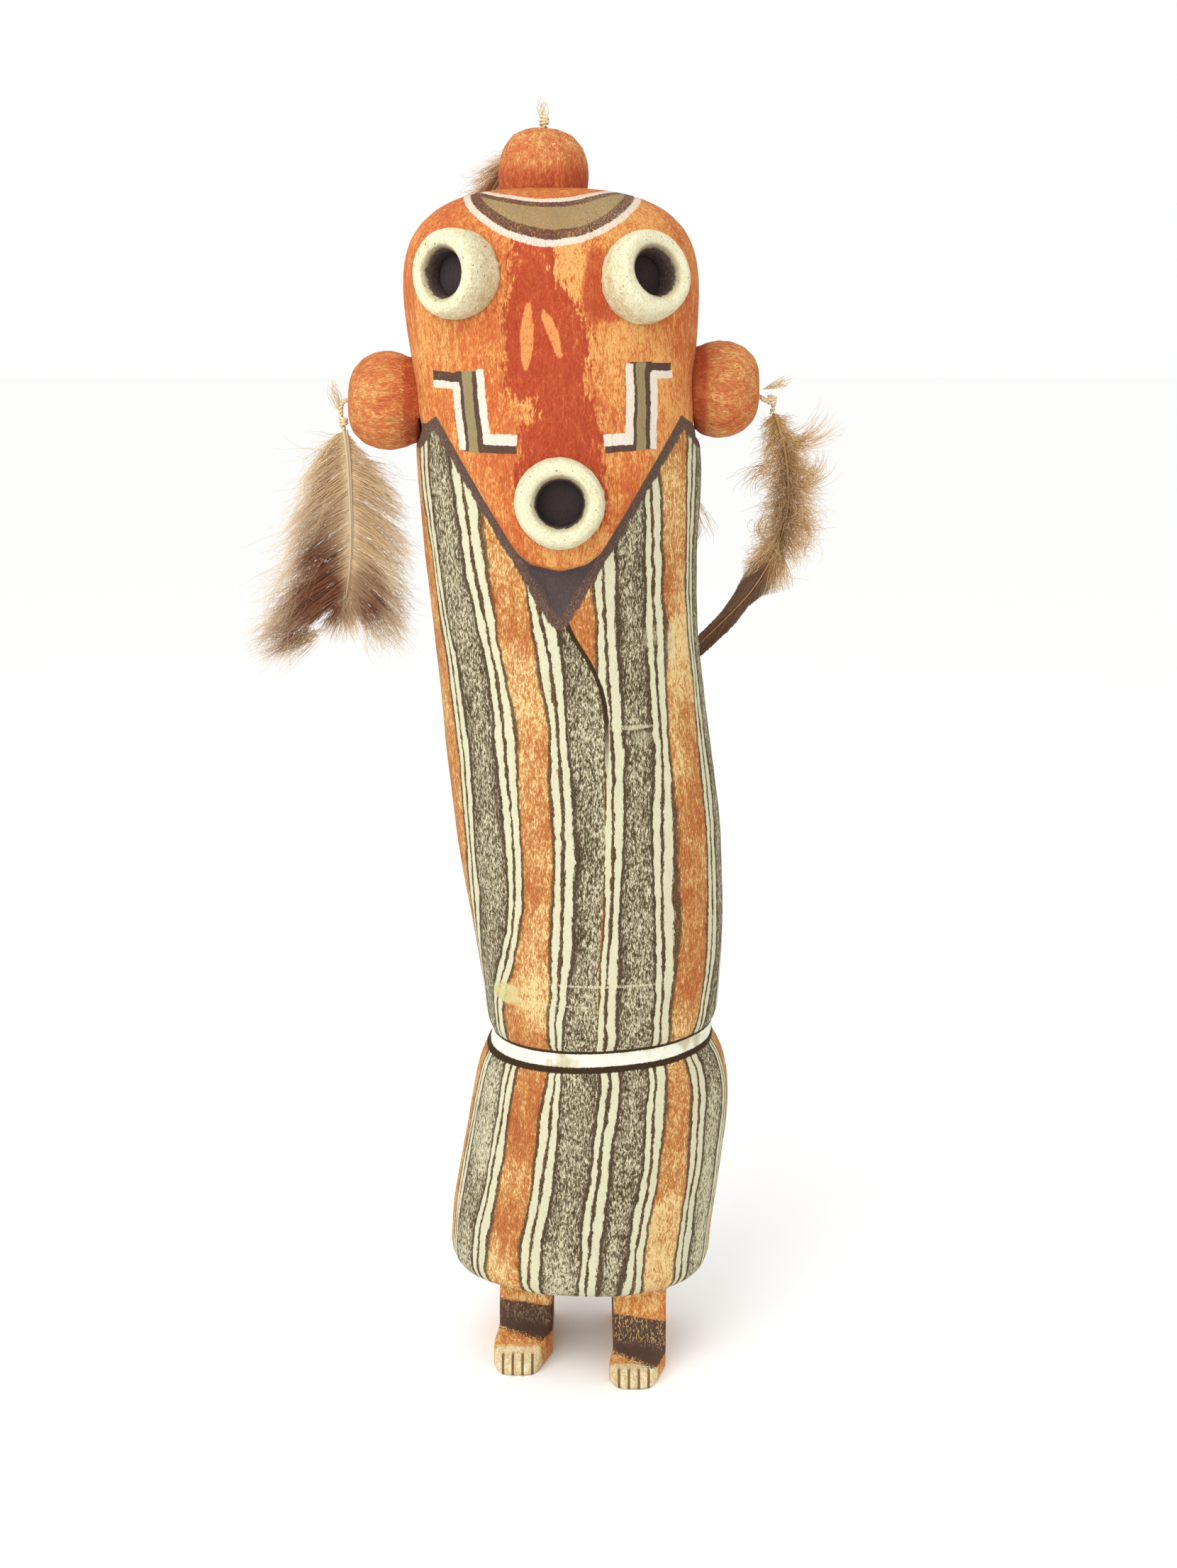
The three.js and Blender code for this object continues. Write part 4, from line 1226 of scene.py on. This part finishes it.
class SetStage(bpy.types.Operator):
    """Sets the camera, the plain floor and the soft light"""
    bl_idname = "kachina.set_stage"
    bl_label = "Set the stage"

    def execute(self, context):
        settings, scene = context.scene.kachina_stage, context.scene
        camera = bpy.data.objects.new("camera", bpy.data.cameras.new("camera"))
        camera.data.lens = settings.lens
        camera.location = settings.eye
        camera.rotation_euler = (math.pi / 2 - settings.tilt, 0, 0)
        scene.collection.objects.link(camera)
        scene.camera = camera
        scene.view_settings.view_transform = "Standard"

        world = bpy.data.worlds.new("surround")
        world.use_nodes = True
        sky = world.node_tree.nodes["Background"]
        sky.inputs["Color"].default_value = (1.0, 1.0, 1.0, 1.0)
        sky.inputs["Strength"].default_value = settings.sky
        scene.world = world

        lamp = bpy.data.lights.new("soft_lamp", "AREA")
        lamp.size = LAMP_SIZE
        lamp.energy = settings.lamp
        holder = bpy.data.objects.new("soft_lamp", lamp)
        holder.location = at(*LAMP_PLACE)
        aim = at(*LAMP_AIM) - holder.location
        holder.rotation_euler = aim.to_track_quat("-Z", "Y").to_euler()
        scene.collection.objects.link(holder)

        plan = bmesh.new()
        bmesh.ops.create_grid(plan, x_segments=1, y_segments=1, size=FLOOR_HALF)
        mesh = bpy.data.meshes.new("floor")
        plan.to_mesh(mesh)
        plan.free()
        floor = link("floor", mesh)
        material, n, shader = new_paint("floor", 0.9)
        shader.inputs["Specular IOR Level"].default_value = 0.0
        tone = n.mix(n.noise(n.add("TexCoord", "Object"), 40.0), tuple(settings.floor),
                     tuple(min(c * 1.02, 1) for c in settings.floor))
        n.feed(shader.inputs["Base Color"], tone)
        mesh.materials.append(material)
        return {"FINISHED"}


def free_of_edges(spot):
    """True where the root is broad and smooth, away from hem, belt and collar."""
    up = spot.z / MM
    return not (up < 30 or 79 < up < 90 or 183 < up < 231)


class CarveRoot(bpy.types.Operator):
    """Carves and paints the root: head, blanket, belt, skirt, legs and feet"""
    bl_idname = "kachina.carve_root"
    bl_label = "Carve the root"

    def execute(self, context):
        settings = context.scene.kachina_carving
        body = even_skin("root_body", kept_side(merged_copy("figure"), BODY_FOOT, True),
                         settings.skin)
        ease_and_carve(body, EASING, settings.depth, settings.grain, free_of_edges, BROAD_EASING)
        feet = even_skin("root_feet", kept_side(merged_copy("figure"), FEET_TOP, False),
                         settings.foot_skin)
        ease_and_carve(feet, EASING, settings.depth * 0.5, settings.grain)
        whole = bmesh.new()
        whole.from_mesh(body.data)
        gone = [f for f in whole.faces if f.calc_center_median().z < JOIN]
        bmesh.ops.delete(whole, geom=gone, context="FACES")
        whole.from_mesh(feet.data)
        mesh = bpy.data.meshes.new("carved_root")
        whole.to_mesh(mesh)
        whole.free()
        for part in (body, feet):
            bpy.data.objects.remove(part)
        root = link("carved_root", mesh)
        guide_painter(root)
        settle(root, root_paint(), "carved_root", "figure")
        return {"FINISHED"}


class CarveKnobs(bpy.types.Operator):
    """Carves the crown knob and the ear knobs"""
    bl_idname = "kachina.carve_knobs"
    bl_label = "Carve the knobs"

    def execute(self, context):
        settings = context.scene.kachina_carving
        flat = (0.0, math.pi / 2, 0.0)
        plans = {
            "top_knob": ("crown_knob", (0.0, 0.0, 0.0), 283.0, 279.0, "up"),
            "ear_knob_left": ("left_ear_knob", flat, -41.5, -40.3, "right"),
            "ear_knob_right": ("right_ear_knob", flat, 26.8, 25.6, "right"),
        }
        for node, (name, turned, low, high, axis) in plans.items():
            knob = even_skin(name, merged_copy(node), KNOB_SKIN)
            ease_and_carve(knob, EASING, settings.depth * 1.5, settings.grain)
            bed(knob)
            settle(knob, knob_paint(name + "_paint", turned, low, high, axis), "knob_paint", node)
        return {"FINISHED"}


class SetTubes(bpy.types.Operator):
    """Sets the dished tubes of the eyes and the mouth"""
    bl_idname = "kachina.set_tubes"
    bl_label = "Set the tubes"

    def execute(self, context):
        settings = context.scene.kachina_carving
        paint = tube_paint()
        for node, plan in TUBES.items():
            tube = even_skin(node.replace("_tube", "_ring"), merged_copy(node), TUBE_SKIN)
            ease_and_carve(tube, TUBE_EASING, settings.depth * 1.4, settings.grain)
            bed(tube)
            look = Vector((0, -1, 0))
            look.rotate(Matrix.Rotation(-math.radians(plan["pitch"]), 3, "X"))
            look.rotate(Matrix.Rotation(math.radians(plan["yaw"]), 3, "Z"))
            reach = points_of(tube) - np.array(plan["face"])
            depth = -reach @ np.array(look)
            aside = reach + depth[:, None] * np.array(look)
            out = np.linalg.norm(aside, axis=1)
            keep_numbers(tube, "behind_face", depth)
            keep_numbers(tube, "from_axis", out)
            # Which side of each dish takes the painted shade tone and which the lit tone.
            upper = (aside[:, 2] - aside[:, 0] * look.x * -1.5) / np.maximum(out, 0.1)
            keep_numbers(tube, "shaded_side", np.clip(0.5 + 0.5 * upper, 0, 1))
            settle(tube, paint, "tube_paint", node)
        return {"FINISHED"}


class TieStrings(bpy.types.Operator):
    """Ties the short strings that hold the feathers"""
    bl_idname = "kachina.tie_strings"
    bl_label = "Tie the strings"

    def execute(self, context):
        paint = plain_strand_paint("string", (0.86, 0.74, 0.52), (0.62, 0.45, 0.24))
        for seed, node in enumerate(TIES):
            settle(tie_string(node, seed + 5), paint, "string", node)
        return {"FINISHED"}


class GrowFeathers(bpy.types.Operator):
    """Grows the three hanging feathers"""
    bl_idname = "kachina.grow_feathers"
    bl_label = "Grow the feathers"

    def execute(self, context):
        settings = context.scene.kachina_feathers
        quills = [plain_strand_paint("quill", (0.15, 0.10, 0.07), (0.07, 0.045, 0.035)),
                  plain_strand_paint("pale_quill", (0.95, 0.90, 0.78), (0.86, 0.76, 0.58))]
        for number, (node, plan) in enumerate(FEATHERS.items()):
            barbs, guides = grow_feather(node, settings.seed + number)
            line = [along_line(plan["shaft"], i / (QUILL_POINTS - 1))[0] + Vector((0, -0.7, 0))
                    for i in range(QUILL_POINTS)]
            parts = [barbs, strands(node + "_shaft", [line], settings.shaft / MM / 2, (1.0, 0.3),
                                    QUILL_POINTS)]
            pale = plan["pale_quill"]
            if pale:
                beside = [spot + Vector((pale * (1 - i / 30), 0.3, 0))
                          for i, spot in enumerate(line)]
                parts.append(strands(node + "_quill", [beside], pale, (1.0, 0.1), QUILL_POINTS))
            feather = join_meshes(node + "_plume", parts)
            for name, values in guides.items():
                rest = np.zeros(len(feather.data.vertices) - len(values))
                keep_numbers(feather, name, np.concatenate([values, rest]))
            settle(feather, feather_paint(node + "_barbs", *DOWN_TONES[node]), "feather", node)
            for quill in quills:
                feather.data.materials.append(quill)
        return {"FINISHED"}


class KachinaPanel(bpy.types.Panel):
    bl_idname = "VIEW3D_PT_kachina"
    bl_label = "Kachina doll"
    bl_space_type = "VIEW_3D"
    bl_region_type = "UI"
    bl_category = "Kachina doll"

    def draw(self, context):
        for settings in (context.scene.kachina_stage, context.scene.kachina_carving,
                         context.scene.kachina_feathers):
            for name in settings.__annotations__:
                self.layout.prop(settings, name)
        for step in STEPS:
            self.layout.operator(step.bl_idname)


STEPS = (SetStage, CarveRoot, CarveKnobs, SetTubes, TieStrings, GrowFeathers)
SETTINGS = {"kachina_stage": StageSettings, "kachina_carving": CarvingSettings,
            "kachina_feathers": FeatherSettings}


def register():
    for kind in (*SETTINGS.values(), *STEPS, KachinaPanel):
        bpy.utils.register_class(kind)
    for name, kind in SETTINGS.items():
        setattr(bpy.types.Scene, name, PointerProperty(type=kind))


def unregister():
    for name in SETTINGS:
        delattr(bpy.types.Scene, name)
    for kind in reversed((*SETTINGS.values(), *STEPS, KachinaPanel)):
        bpy.utils.unregister_class(kind)


def main():
    register()
    make_groups()
    bpy.ops.kachina.set_stage()
    bpy.ops.kachina.carve_root()
    bpy.ops.kachina.carve_knobs()
    bpy.ops.kachina.set_tubes()
    bpy.ops.kachina.tie_strings()
    bpy.ops.kachina.grow_feathers()


if __name__ == "__main__":
    main()
